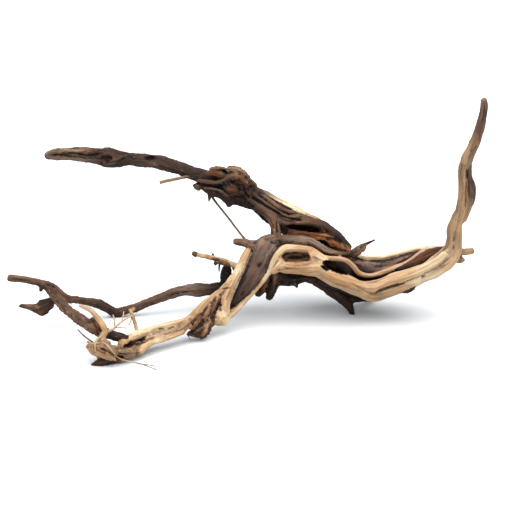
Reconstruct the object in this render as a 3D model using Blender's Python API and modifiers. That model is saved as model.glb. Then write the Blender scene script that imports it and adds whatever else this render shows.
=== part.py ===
"""A branching piece of satung driftwood, about half a metre long, resting on a flat surface.

Every limb is a loft of oval sections through stations that were chosen by eye in one front view, because the
root is a grown shape with no rule. The view stands 1.6 m in front of the root and looks down on it by 18
degrees. A station is (across, up, back, wide, thick) in millimetres: `across` and `up` are where its centre is
seen, `back` is how far it lies behind the root's middle, `wide` is its size across the limb as seen, and
`thick` is its size along the line of sight. The lofts are fused by a voxel remesh, hollowed, thinned out, and
joined by the twigs.
"""

import math

import bmesh
import bpy
from mathutils import Matrix, Vector, noise

NAME = "satung_wood"
MM = 0.001

# The front view, in millimetres and radians
VIEW_DISTANCE = 1600
VIEW_TILT = math.radians(18)
AIM_UP = 57
AIM_HEIGHT = 60.6
ORIGIN = Vector((-8.9, -47.3, 0))

# The surface: flutes and gnarls are shares of a limb's radius, the twist is in radians per metre
RING_SIDES = 16
LOFT_STEP = 3.0 * MM
FLUTES = 5
FLUTE_DEPTH = 0.09
FLUTE_TWIST = 25
GNARL_DEPTH = 0.16
GNARLS_PER_METRE = 70
BARK_COLOUR = (0.19, 0.125, 0.078, 1)

# The mesh
VOXEL = 2.1 * MM
SMOOTHING = 0.5
KEPT_FACES = 0.115
TWIG_BEVEL_RESOLUTION = 1
HOLLOW_SEGMENTS = 12
HOLLOW_RINGS = 8
WELD_DISTANCE = 0.01 * MM
GROUND_SIZE = 1.0

UPPER_LIMB = [
    (89, 54, 30, 20, 24), (76, 66, 30, 27, 26), (59, 77.5, 28, 32, 28), (40, 88.5, 26, 31, 28),
    (20, 101, 25, 28, 26), (0, 113.5, 24, 22, 24), (-20, 125, 24, 26, 25), (-30, 129, 24, 28, 25),
    (-40, 133, 25, 20, 19), (-50, 136, 26, 15, 16), (-60, 139.5, 28, 14, 15), (-80, 147, 32, 13, 13),
    (-100, 152.4, 36, 13.5, 13), (-120, 154.3, 40, 12.5, 12), (-130, 154.8, 41, 13.5, 12),
    (-140, 155.8, 42, 17.5, 14), (-150, 156.8, 43, 18.5, 14), (-160, 158.3, 45, 15.5, 13),
    (-170, 159.5, 46, 14, 12), (-190, 159.5, 48, 11, 10), (-200, 159.3, 49, 11.5, 10),
    (-207, 158.9, 50, 9, 9), (-212, 158.5, 50, 6, 6),
]
UPPER_RIDGES = {
    "top": [
        (-18, 141, 26, 5, 8), (-9, 133, 26, 6, 10), (0, 124.5, 26, 5, 10), (10, 119.5, 27, 6, 10),
        (30, 108, 28, 6, 10), (50, 98.5, 29, 6, 10), (64, 91, 30, 6, 10), (77, 79, 31, 5, 10),
        (91, 64, 32, 5, 8),
    ],
    "cavity_lip": [
        (-5, 112, 14, 6, 8), (8, 107, 13, 6, 9), (18, 100, 13, 6, 9), (26, 93, 13, 6, 9),
        (34, 90.5, 13, 6, 9), (52, 91, 14, 6, 9), (66, 90, 17, 5, 9),
    ],
    "left_buttress": [
        (-2, 108, 10, 7, 9), (7, 102.5, 7, 8, 10), (15, 95, 5, 9, 10), (18.5, 86, 3, 9, 10),
        (19, 76, 0, 11, 12), (20, 70, -3, 14, 14),
    ],
    "inner_streak": [
        (35, 82, 10, 8, 10), (50, 76, 10, 9, 12), (70, 72, 12, 8, 12), (88, 64, 16, 7, 12),
    ],
    "back_middle": [
        (-20, 124, 38, 7, 8), (10, 108, 41, 7, 10), (40, 89, 44, 7, 11), (70, 68, 45, 7, 12),
        (88, 53, 42, 8, 14), (99, 40, 34, 10, 14), (104, 28, 28, 12, 12),
    ],
    "back_high": [
        (-6, 127, 34, 5, 8), (14, 114, 38, 5, 9), (38, 100, 41, 5, 9), (60, 86, 42, 5, 9), (80, 68, 40, 5, 9),
    ],
    "back_low": [
        (-12, 114, 34, 5, 8), (12, 98, 38, 6, 10), (36, 78, 40, 7, 12), (62, 57, 40, 8, 12), (84, 40, 34, 8, 12),
    ],
}
KNOT = {
    "burl": [
        (-36, 138, 18, 12, 12), (-28, 135, 17, 24, 20), (-20, 132, 17, 27, 22), (-10, 127, 18, 18, 18),
    ],
    "lens": [
        (-51, 140, 16, 3, 5), (-46, 141, 14, 6, 9), (-40, 141, 12, 7.5, 10), (-34, 138, 12, 5, 8),
    ],
    "bumps": [
        (-47, 143, 24, 6, 8), (-40, 145, 24, 6, 8), (-31, 143, 24, 5, 8), (-24, 145, 24, 6, 8),
        (-14, 140, 24, 6, 8),
    ],
    "droop": [
        (-64, 128.5, 22, 4, 5), (-55, 127.5, 20, 5.5, 6), (-46, 122.5, 18, 8, 9), (-36, 120, 17, 9, 10),
        (-28, 115, 17, 11, 10), (-19, 113, 18, 9, 10), (-5, 108, 18, 9, 10),
    ],
    "drip_left": [(-46, 121, 18, 6, 6), (-47.5, 115, 18, 3.5, 4), (-48, 111, 18, 2, 2.5)],
    "drip_right": [(-25, 114, 17, 6, 6), (-27, 110, 17, 4, 4), (-28.5, 107, 17, 2.5, 2.5)],
}
TRUNK = {
    "plate": [
        (18, 72, -12, 22, 14), (8, 62, -16, 24, 14), (-1, 48, -22, 24, 14), (-9, 33, -30, 20, 12),
        (-18, 18, -38, 13, 10), (-27, 6, -46, 6, 8),
    ],
    "left_ridge": [
        (-8, 64, -20, 8, 12), (-11, 57, -24, 8.5, 13), (-15, 48, -28, 9, 14), (-25, 29, -41, 10, 15),
        (-31, 16, -48, 10, 14), (-32.5, 5, -54, 12, 13), (-33, -3, -58, 15, 12), (-38, -6.5, -61, 14, 10),
        (-43, -9, -63, 5, 6),
    ],
    "right_ridge": [
        (-27, 1, -50, 5, 7), (-18, 6.5, -46, 4.5, 8), (-4, 21, -38, 4.5, 8), (9, 37, -31, 5, 9),
        (18, 54, -27, 6, 10), (23, 61, -25, 6.5, 10), (30, 65.5, -23, 7, 10), (50, 64, -22, 7.5, 10),
        (58, 60.5, -23, 8, 11), (66, 56, -24, 7, 10),
    ],
    "top_band": [
        (8, 74, -8, 8, 14), (20, 75, -8, 8, 14), (48, 73, -8, 9, 14), (58, 69.5, -8, 9, 14),
        (68, 63, -8, 8, 14), (78, 60.5, -8, 6, 12), (88, 59.5, -6, 5, 10), (95, 60, -6, 6, 8),
        (101, 64, -8, 7, 7), (107, 68.5, -10, 5, 5), (112, 71, -12, 3, 3),
    ],
    "arch_core": [
        (15, 61, -10, 28, 20), (35, 60, -9, 29, 24), (55, 57, -7, 27, 26), (70, 51, -4, 22, 28),
    ],
    "back_core": [
        (25, 66, 8, 22, 22), (45, 64, 12, 26, 28), (65, 57, 14, 26, 30), (82, 47, 14, 22, 28),
        (96, 37, 12, 18, 24),
    ],
    "under": [
        (18, 36, -12, 16, 16), (28, 35, -10, 14, 18), (38, 35, -8, 12, 18), (48, 36, -6, 9, 18),
        (58, 34, -5, 11, 18),
    ],
    "top_stub": [
        (4, 68, -14, 9, 9), (-4, 70, -16, 7.5, 8), (-12, 71.5, -17, 7, 7), (-19, 72.5, -18, 6.5, 6.5),
        (-22.5, 73, -18, 5.5, 5.5),
    ],
    "low_stub": [
        (20, 42, -16, 12, 12), (17, 32, -17, 11, 10), (15, 24, -18, 9, 9), (12.5, 17, -19, 7.5, 8),
        (11, 14, -19, 5, 6),
    ],
    "stub_lump": [(10, 36, -14, 10, 10), (5, 27, -16, 10, 9), (2, 21, -18, 8, 8), (-1, 18.5, -20, 4, 5)],
}
FEET = {
    "leg": [
        (50, 38, -4, 10, 14), (60, 33, -3, 11, 14), (70, 27.5, -2, 12.5, 14), (79, 21, -1, 12, 13),
        (87, 14, 0, 11, 12), (92, 8, 0, 8, 9), (94.5, 3, 0, 5.5, 7), (96, -1.5, 0, 4.5, 6),
    ],
    "ledge": [(86, 15, 1, 8, 10), (98, 14, 2, 6, 10), (106, 14, 0, 4, 8), (113, 14.5, -4, 2.5, 4)],
    "rear": [(98, 28, 10, 16, 16), (108, 22, 26, 12, 12), (115, 18, 42, 9, 9), (116, 15, 52, 8, 8)],
    "front": [
        (-138, -42, -134, 9, 11), (-148, -46, -138, 8, 10), (-155, -48, -139, 7.5, 9), (-162, -49, -140, 4, 6),
    ],
}
MAIN_LIMB = [
    (18, 46, -30, 5, 8), (28, 46, -31, 11, 14), (40, 45, -32, 12, 16), (52, 44.8, -32, 13, 18),
    (62, 45.5, -31, 17, 20), (72, 39.5, -30, 17, 20), (82, 34, -29, 16.5, 20), (92, 30, -28, 16.5, 20),
    (102, 25.5, -27, 17, 20), (118, 23.5, -25, 20, 22), (138, 30, -25, 20.5, 22), (150, 34, -25, 20.5, 22),
    (162, 38.5, -24, 18.5, 22), (172, 43, -24, 18.5, 22), (181, 48.5, -23, 19, 22), (190, 56, -22, 20, 22),
    (196, 65, -21, 18, 20), (197.5, 75, -20, 16, 18), (198, 85, -20, 15.5, 17), (201, 95, -19, 13, 15),
    (204.5, 105, -18, 10, 12), (206, 125, -16, 8.5, 10), (207, 145, -12, 9, 10), (213, 161, -8, 9.5, 10),
    (221, 180, -4, 9.5, 10), (226.5, 200, 0, 8.5, 9), (227.3, 208, 0, 8, 8), (227.8, 216, 0, 5, 6),
]
RIGHT_RIDGES = {
    "upright_lobe": [
        (212, 105, -12, 4, 6), (214, 112, -10, 8, 9), (214.5, 120, -9, 9, 10), (214.5, 128, -9, 9, 9),
        (213, 136, -10, 5.5, 7), (213, 145, -10, 4.5, 6), (214, 153, -8, 3.5, 5),
    ],
    "thin_ridge": [
        (64, 56, -22, 6, 8), (74, 55.5, -18, 5, 7), (84, 55, -15, 5, 7), (91, 52.5, -13, 5.5, 7),
        (97, 47, -11, 5.5, 7), (102, 41, -9, 5, 7), (110, 38.3, -7, 5, 7), (120, 39.5, -6, 4.5, 7),
        (140, 46.8, -4, 4.5, 7), (150, 51.2, -3, 4.5, 6), (165, 61.5, 0, 4.5, 6), (172, 64.5, 4, 4, 6),
        (180, 66, 8, 3.5, 5),
    ],
    "back_rim": [
        (92, 62, 34, 5, 9), (100, 60.5, 34, 4.5, 8), (110, 58, 33, 4.5, 8), (130, 57.5, 31, 4.5, 8),
        (150, 63.5, 26, 5, 8), (158, 66, 23, 5, 8), (176, 66, 13, 4.5, 8), (190, 65, 2, 6, 9),
    ],
    "back_wall": [
        (95, 52, 26, 16, 9), (110, 50, 24, 16, 9), (125, 50, 20, 15, 9), (140, 54, 16, 12, 9),
        (152, 58, 12, 9, 9), (164, 61.5, 9, 7, 8),
    ],
    "inner_wall": [
        (140, 43, -6, 6, 10), (155, 48.5, -6, 9, 12), (168, 55, -6, 13, 12), (178, 60, -8, 12, 14),
        (188, 63, -12, 10, 14),
    ],
    "trough": [
        (60, 40, -5, 16, 30), (80, 31, -2, 14, 34), (95, 26, 0, 16, 36), (110, 24, 0, 16, 36),
        (125, 28, 0, 14, 34), (145, 35, -2, 14, 30), (165, 44, -6, 13, 24), (185, 56, -12, 14, 18),
    ],
    "back_flute": [
        (70, 44, 22, 10, 12), (92, 38, 26, 10, 12), (115, 38, 24, 10, 12), (140, 46, 18, 9, 12),
        (165, 55, 8, 8, 10), (186, 62, -6, 8, 10),
    ],
    "stub_high": [(200, 63, -12, 8, 9), (208, 63, -8, 5, 5), (217, 64, -4, 5, 5)],
    "stub_low": [(196, 56, -16, 9, 9), (203, 54, -12, 8, 7), (207, 54, -10, 4.5, 5)],
}
SMALL_BRANCH = {
    "branch": [
        (-12, 42, -20, 8, 8), (-16, 45, -18, 6, 6), (-21, 48, -14, 5.5, 5.5), (-32, 52.5, -11, 6, 6),
        (-38, 54, -10, 5.5, 5.5), (-45, 56.5, -9, 4, 4), (-58, 59.6, -8, 3.4, 3.4), (-64, 60.5, -8, 4.6, 4.6),
    ],
    "wedge": [
        (-29.5, 50, -9, 4, 5), (-30, 46, -6, 7.5, 8), (-30.5, 40, 0, 11, 9), (-31, 33, 6, 11, 10),
        (-32, 26, 8, 9, 10),
    ],
    "low_knob": [(-37, 53, -10, 4, 4), (-41, 50.5, -10, 4, 4), (-43, 49, -10, 2.5, 2.5)],
}
LOW_LIMB = [
    (-2, 34, 2, 16, 16), (-8, 30, 10, 12, 12), (-25, 27, 10, 13, 12), (-40, 25, 8, 13, 12),
    (-50, 24, 7, 12, 12), (-60, 23.7, 6, 13, 12), (-70, 23.3, 4, 10, 11), (-80, 21.5, 2, 9.5, 10),
    (-90, 18, 0, 9, 10), (-110, 10.5, -4, 8.3, 9), (-120, 6, -6, 8.5, 9), (-130, 3.6, -8, 8.5, 9),
    (-141, 0.8, -9, 9.5, 9.5), (-150, 5.5, -12, 9, 9), (-160, 10.5, -16, 8.3, 9), (-180, 14, -25, 7.6, 9),
    (-190, 15.5, -30, 8.2, 9), (-204, 27, -38, 8, 9), (-213, 30.3, -41, 8, 9), (-232, 34.2, -46, 7.3, 8),
    (-249, 36.2, -50, 7, 7),
]
FORK_LIMB = [
    (-210, 28.5, -42, 8, 8), (-204, 21, -46, 9, 9), (-199, 14.5, -50, 9.5, 9), (-187, 2.5, -64, 10, 9),
    (-171, -8.5, -84, 11, 10), (-155, -17.5, -102, 11, 11), (-146, -20.5, -108, 10, 10),
    (-129, -26, -118, 9, 9),
]
FORK_BITS = {
    "blob": [
        (-203, 13, -44, 8, 8), (-210, 9.5, -44, 12, 10), (-216, 6, -44, 16, 11), (-221, 6, -45, 9, 8),
        (-233, 7.7, -47, 4.5, 5), (-238, 8.6, -48, 3, 3),
    ],
    "dark_stub": [(-166, -4, -88, 6, 6), (-161, -11, -92, 8, 8), (-157, -18, -100, 8, 8)],
    "drip": [(-213, 29, -42, 5, 5), (-216, 25, -42, 4, 4), (-217, 22, -42, 2.5, 2.5)],
}
FRONT_LIMB = {
    "upper_ridge": [
        (-24, 38, -40, 5, 8), (-29, 31, -44, 5, 9), (-36, 24, -48, 5, 9), (-45, 16.5, -54, 5.5, 10),
        (-52, 10.5, -60, 6.5, 11), (-58.5, 3, -66, 8, 12), (-66, -5.5, -72, 9.5, 13), (-76, -10, -79, 9.5, 13),
        (-92, -13.5, -90, 9, 12), (-112, -18.5, -102, 8, 11), (-121, -21.5, -108, 8, 11),
        (-129, -25, -113, 7.5, 10), (-135, -28.5, -117, 6, 8), (-138, -32, -120, 4.5, 7),
    ],
    "lower_ridge": [
        (-68, -6, -80, 9, 10), (-76, -14, -84, 12, 12), (-86, -17.5, -90, 11, 12), (-96, -21, -97, 10, 12),
        (-105, -25, -105, 8, 11), (-112, -30, -113, 7.5, 10), (-117, -35, -119, 7, 9), (-120, -40, -124, 5, 7),
    ],
    "bark_strip": [
        (-33, 22, -44, 7, 10), (-41, 12, -52, 11, 12), (-48, 2, -60, 15, 13), (-53, -8, -68, 19, 14),
        (-57, -14, -75, 17, 12), (-65, -17.5, -78, 9, 9),
    ],
    "bark_lump": [(-49, -14, -71, 8, 7), (-54, -20, -76, 9, 8), (-60, -20.5, -78, 6, 6), (-70, -20, -82, 5, 5)],
    "broken_end": [
        (-120, -34, -117, 9, 13), (-130, -38, -127, 13, 16), (-140, -39.5, -133, 16, 16),
        (-150, -37.5, -134, 16, 16), (-160, -35, -135, 13, 14), (-167, -34.5, -136, 8, 9),
        (-170, -35, -137, 5, 6),
    ],
    "end_lump": [(-147, -29, -126, 9, 10), (-153, -25.5, -126, 11, 12), (-158, -28, -130, 9, 10)],
}

# Hollows: centre (across, up, back), half sizes (along, over, deep) and the turn in the view, in degrees
HOLLOWS = {
    "oval": ((40.5, 55.8, -27), (15, 4.8, 11), 2),
    "lip_slot": ((50, 85, 12), (22, 3.2, 12), -8),
    "limb_eye": ((-107, 156, 32), (6, 2.2, 3.4), 4),
    "limb_mouth": ((-151, 156, 36), (6.5, 3.2, 3.4), -6),
    "knot_eye": ((-26, 132, 5), (3.6, 2.6, 5), -20),
    "end_hole": ((-137, -44.5, -141), (4, 2.6, 6), -5),
    "stub_gap": ((63, 69, 4), (7, 4, 8), -20),
}

# Twigs and fibres: (across, up, back, width)
TWIGS = {
    "front_hook": [
        (-150, -29, -122, 5), (-157, -20, -122, 5), (-153, -15, -120, 5), (-154, -10, -118, 5),
        (-163, 1, -110, 4.5), (-169, 5.5, -106, 4), (-176, 8, -102, 3),
    ],
    "front_spray": [
        (-155, -27, -122, 4), (-150, -18.5, -120, 3), (-144, -15, -116, 2.2), (-134, -7, -110, 1.6),
        (-124.5, -1.5, -104, 1.3),
    ],
    "spray_shoot": [(-143, -16, -115, 1.6), (-142, -7, -112, 1.4), (-144, -1, -110, 1.2)],
    "front_peg": [
        (-119, -21, -108, 4), (-121, -12, -103, 3.4), (-123.5, -4, -102, 3.2), (-127, 5, -99, 2.8),
    ],
    "long_fibre": [
        (-154, -27, -128, 1.8), (-149, -29, -133, 1.6), (-142, -39, -138, 1.5), (-130, -44.5, -142, 1.5),
        (-110, -48.5, -147, 1.5), (-99, -53.5, -149, 1.4),
    ],
    "left_hair": [
        (-158, -32, -128, 2), (-166, -27, -133, 1.6), (-176, -18.5, -131, 1.4), (-181, -12, -130, 1.2),
    ],
    "splinter_tip": [(103, 65.5, -9, 3.6), (110, 70, -11, 2.6), (118, 74, -14, 1.6)],
    "limb_twig": [
        (-60, 139, 27, 3), (-74, 136.3, 22, 2.6), (-91, 132.7, 19, 2.6), (-97, 131, 18, 2.6),
    ],
    "bridge": [
        (-46, 120, 22, 2), (-42, 113, 22, 1.7), (-36, 105.5, 16, 1.6), (-28, 95.5, 8, 1.6),
        (-15, 78.5, -8, 1.6), (-10, 73, -15, 1.8),
    ],
}


def place(across, up, back):
    """The world point, in metres, that the front view shows at (across, up) and lies `back` behind."""
    slope = (up - AIM_UP) / VIEW_DISTANCE
    lean, drop = math.cos(VIEW_TILT), math.sin(VIEW_TILT)
    rise = (slope * (VIEW_DISTANCE + back * lean) - back * drop) / (lean + slope * drop)
    spread = 1 + (back * lean - rise * drop) / VIEW_DISTANCE
    return (Vector((across * spread, back, rise + AIM_HEIGHT)) - ORIGIN) * MM


def sight_line():
    """The direction in which the front view looks."""
    return Vector((0, math.cos(VIEW_TILT), -math.sin(VIEW_TILT)))


def between(rows, index, share):
    """A row of numbers on the smooth curve between rows[index] and the next one."""
    before, start, end, after = (
        rows[max(0, min(len(rows) - 1, index + offset))] for offset in (-1, 0, 1, 2)
    )
    return [
        b + 0.5 * share * (c - a + share * (2 * a - 5 * b + 4 * c - d + share * (3 * (b - c) + d - a)))
        for a, b, c, d in zip(before, start, end, after)
    ]


def smooth_rows(stations):
    """Rows of (x, y, z, wide, thick) in metres, close together. A twig's stations are as thick as wide."""
    rows = [[*place(*row[:3]), row[3] * MM, row[-1] * MM] for row in stations]
    result = []
    for index in range(len(rows) - 1):
        span = (Vector(rows[index + 1][:3]) - Vector(rows[index][:3])).length
        steps = max(1, math.ceil(span / LOFT_STEP))
        result += [between(rows, index, step / steps) for step in range(steps)]
    return result + [rows[-1]]


def ring(mesh, rows, index, travelled):
    """One oval section across the limb, with shallow flutes that twist along it and uneven gnarls."""
    centre = Vector(rows[index][:3])
    ahead, behind = rows[min(index + 1, len(rows) - 1)], rows[max(index - 1, 0)]
    along = (Vector(ahead[:3]) - Vector(behind[:3])).normalized()
    deep = sight_line() - along * sight_line().dot(along)
    deep.normalize()
    side = along.cross(deep)
    wide, thick = rows[index][3:]
    corners = []
    for corner in range(RING_SIDES):
        angle = 2 * math.pi * corner / RING_SIDES
        flute = FLUTE_DEPTH * math.cos(FLUTES * angle + FLUTE_TWIST * travelled)
        arm = side * wide / 2 * math.cos(angle) + deep * thick / 2 * math.sin(angle)
        gnarl = GNARL_DEPTH * noise.noise((centre + arm) * GNARLS_PER_METRE)
        corners.append(mesh.verts.new(centre + arm * (1 + flute + gnarl)))
    return corners


def add_limb(mesh, stations):
    """A closed loft through the stations, added to the mesh."""
    rows = smooth_rows(stations)
    travelled = 0
    previous = ring(mesh, rows, 0, travelled)
    mesh.faces.new(previous)
    for index in range(1, len(rows)):
        travelled += (Vector(rows[index][:3]) - Vector(rows[index - 1][:3])).length
        corners = ring(mesh, rows, index, travelled)
        for corner in range(RING_SIDES):
            after = (corner + 1) % RING_SIDES
            mesh.faces.new((previous[corner], previous[after], corners[after], corners[corner]))
        previous = corners
    mesh.faces.new(reversed(previous))


def new_object(name, mesh, collection):
    """An object made from a bmesh, with its faces pointing out."""
    data = bpy.data.meshes.new(name)
    bmesh.ops.recalc_face_normals(mesh, faces=mesh.faces)
    mesh.to_mesh(data)
    mesh.free()
    result = bpy.data.objects.new(name, data)
    collection.objects.link(result)
    return result


def new_collection(name):
    collection = bpy.data.collections.new(name)
    bpy.context.scene.collection.children.link(collection)
    return collection


def build_limbs(collection):
    """All limbs as overlapping lofts in one object."""
    limbs = [UPPER_LIMB, MAIN_LIMB, LOW_LIMB, FORK_LIMB]
    for group in (UPPER_RIDGES, KNOT, TRUNK, FEET, RIGHT_RIDGES, SMALL_BRANCH, FORK_BITS, FRONT_LIMB):
        limbs += group.values()
    mesh = bmesh.new()
    for stations in limbs:
        add_limb(mesh, stations)
    return new_object(NAME, mesh, collection)


def build_hollow(name, collection):
    """An egg-shaped cutter that faces the front view."""
    centre, half_sizes, turn = HOLLOWS[name]
    mesh = bmesh.new()
    bmesh.ops.create_uvsphere(mesh, u_segments=HOLLOW_SEGMENTS, v_segments=HOLLOW_RINGS, radius=1)
    along, over, deep = (size * MM for size in half_sizes)
    facing = Matrix.Rotation(math.pi / 2 - VIEW_TILT, 4, "X") @ Matrix.Rotation(math.radians(turn), 4, "Z")
    sizes = Matrix.Diagonal((along, over, deep, 1))
    mesh.transform(Matrix.Translation(place(*centre)) @ facing @ sizes)
    cutter = new_object(f"hollow_{name}", mesh, collection)
    hide(cutter)
    return cutter


def hide(cutter):
    cutter.hide_render = True
    cutter.display_type = "WIRE"


def build_ground(collection):
    """The space under the root, which cuts its soles flat."""
    mesh = bmesh.new()
    bmesh.ops.create_cube(mesh, size=GROUND_SIZE, matrix=Matrix.Translation((0, 0, -GROUND_SIZE / 2)))
    ground = new_object("ground_cutter", mesh, collection)
    hide(ground)
    return ground


def build_twig(name, collection):
    """A tapering twig as a mesh, from a curve with a bevel and filled caps."""
    rows = smooth_rows(TWIGS[name])[::2]
    curve = bpy.data.curves.new(name, "CURVE")
    curve.dimensions = "3D"
    curve.bevel_depth = 1
    curve.bevel_resolution = TWIG_BEVEL_RESOLUTION
    curve.use_fill_caps = True
    spline = curve.splines.new("POLY")
    spline.points.add(len(rows) - 1)
    for point, row in zip(spline.points, rows):
        point.co = (*row[:3], 1)
        point.radius = row[3] / 2
    guide = bpy.data.objects.new(name, curve)
    collection.objects.link(guide)
    return curve_to_mesh(guide, collection)


def curve_to_mesh(guide, collection):
    """Replaces a curve object by its mesh, with the caps welded on."""
    name, curve = guide.name, guide.data
    data = bpy.data.meshes.new_from_object(guide.evaluated_get(bpy.context.evaluated_depsgraph_get()))
    bpy.data.objects.remove(guide)
    bpy.data.curves.remove(curve)
    mesh = bmesh.new()
    mesh.from_mesh(data)
    bpy.data.meshes.remove(data)
    bmesh.ops.remove_doubles(mesh, verts=mesh.verts, dist=WELD_DISTANCE)
    return new_object(name, mesh, collection)


def apply_modifiers(target):
    """Puts the object's evaluated mesh in place of its mesh and modifiers."""
    evaluated = target.evaluated_get(bpy.context.evaluated_depsgraph_get())
    data = bpy.data.meshes.new_from_object(evaluated)
    target.modifiers.clear()
    target.data = data


def fuse(target):
    """Turns the overlapping lofts into one skin and rounds its steps off."""
    skin = target.modifiers.new("Fuse", "REMESH")
    skin.mode = "VOXEL"
    skin.voxel_size = VOXEL
    soften = target.modifiers.new("Soften", "SMOOTH")
    soften.factor = SMOOTHING
    apply_modifiers(target)


def keep_largest_body(target):
    """Drops loose scraps, so that the root is one body."""
    mesh = bmesh.new()
    mesh.from_mesh(target.data)
    unseen = set(mesh.verts)
    bodies = []
    while unseen:
        body, edge = set(), {unseen.pop()}
        while edge:
            body |= edge
            edge = {link.other_vert(vert) for vert in edge for link in vert.link_edges} & unseen
            unseen -= edge
        bodies.append(body)
    bodies.sort(key=len)
    scraps = [vert for body in bodies[:-1] for vert in body]
    bmesh.ops.delete(mesh, geom=scraps, context="VERTS")
    mesh.to_mesh(target.data)
    mesh.free()


def cut(target, cutter):
    """Adds a modifier that takes the cutter's space out of the target."""
    difference = target.modifiers.new(cutter.name, "BOOLEAN")
    difference.operation = "DIFFERENCE"
    difference.object = cutter


def join_twigs(target, twigs):
    """Unites the twigs with the root and removes their own objects."""
    for twig in twigs:
        union = target.modifiers.new(twig.name, "BOOLEAN")
        union.operation = "UNION"
        union.object = twig
    apply_modifiers(target)
    for twig in twigs:
        bpy.data.objects.remove(twig)


def thin_out(target):
    """Keeps the form with fewer faces."""
    fewer = target.modifiers.new("Fewer faces", "DECIMATE")
    fewer.ratio = KEPT_FACES
    apply_modifiers(target)


def wood_material():
    material = bpy.data.materials.new("weathered wood")
    material.use_nodes = True
    shader = material.node_tree.nodes["Principled BSDF"]
    shader.inputs["Base Color"].default_value = BARK_COLOUR
    shader.inputs["Roughness"].default_value = 0.75
    shader.inputs["Metallic"].default_value = 0
    return material


def main():
    for old in list(bpy.data.objects):
        bpy.data.objects.remove(old)
    wood = new_collection(NAME)
    cutters = new_collection("cutters")
    root = build_limbs(wood)
    fuse(root)
    keep_largest_body(root)
    for name in HOLLOWS:
        cut(root, build_hollow(name, cutters))
    apply_modifiers(root)
    thin_out(root)
    join_twigs(root, [build_twig(name, wood) for name in TWIGS])
    cut(root, build_ground(cutters))
    apply_modifiers(root)
    root.data.materials.clear()
    root.data.materials.append(wood_material())
    print("size in mm:", [round(side / MM, 1) for side in root.dimensions])


main()
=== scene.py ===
# A piece of satung driftwood on a white surface: the skin, the bark, the twigs and their finish.
import math

import bmesh
import bpy
import numpy as np
from mathutils import Matrix, Vector, noise


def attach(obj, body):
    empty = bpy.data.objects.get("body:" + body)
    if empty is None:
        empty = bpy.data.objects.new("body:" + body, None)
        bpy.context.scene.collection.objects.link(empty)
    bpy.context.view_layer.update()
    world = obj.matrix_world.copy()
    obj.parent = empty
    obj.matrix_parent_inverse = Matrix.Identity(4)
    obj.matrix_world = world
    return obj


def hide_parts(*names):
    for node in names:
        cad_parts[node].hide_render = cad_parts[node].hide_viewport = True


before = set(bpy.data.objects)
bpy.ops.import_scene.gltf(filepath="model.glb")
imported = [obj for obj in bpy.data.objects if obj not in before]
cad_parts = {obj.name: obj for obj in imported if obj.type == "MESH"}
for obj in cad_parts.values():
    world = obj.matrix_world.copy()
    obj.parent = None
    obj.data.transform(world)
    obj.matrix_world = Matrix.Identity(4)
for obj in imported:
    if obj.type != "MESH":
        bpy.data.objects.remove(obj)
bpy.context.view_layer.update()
mm = 0.001

# The front view that the root is laid out in: distances in mm, the tilt in degrees
frontView = {"distance": 1600, "tilt": 18, "aimUp": 57, "aimHeight": 60.6, "origin": (-8.9, -47.3, 0),
             "lens": 112.5, "nudge": (-0.7, 0.8)}
viewTilt = math.radians(frontView["tilt"])
sightLine = Vector((0, math.cos(viewTilt), -math.sin(viewTilt)))
viewOver = Vector((0, math.sin(viewTilt), math.cos(viewTilt)))

# Colours as the eye reads them, each with how pale (stripped of bark) the wood is there
woodColours = {
    "ivory": ("#EFDEC1", 1), "bone": ("#988B79", 1), "brown": ("#5E4632", 1), "cream": ("#BBAA8F", 1),
    "tan": ("#A1876A", 1), "ochre": ("#876948", 1), "blush": ("#A2856F", 1), "drift": ("#806952", 1),
    "hazel": ("#645342", 1), "clay": ("#7B5B43", 1), "dun": ("#504032", 0.9), "olive": ("#5E533E", 0),
    # The near-black tone is painted deep shade, put on the wood in troughs, hollows, gaps and under or behind
    # other limbs
    "ash": ("#60534B", 0), "bark": ("#4C3C34", 0), "umber": ("#2A201B", 0), "shadeBlack": ("#16110E", 0),
    "russet": ("#4D2F21", 0), "amber": ("#865A36", 0), "slate": ("#202527", 0), "plum": ("#826C61", 0),
    "maroon": ("#392119", 0), "fawn": ("#7B5B43", 0), "rough": ("#5C4736", 0), "walnut": ("#372B25", 0),
}

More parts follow.
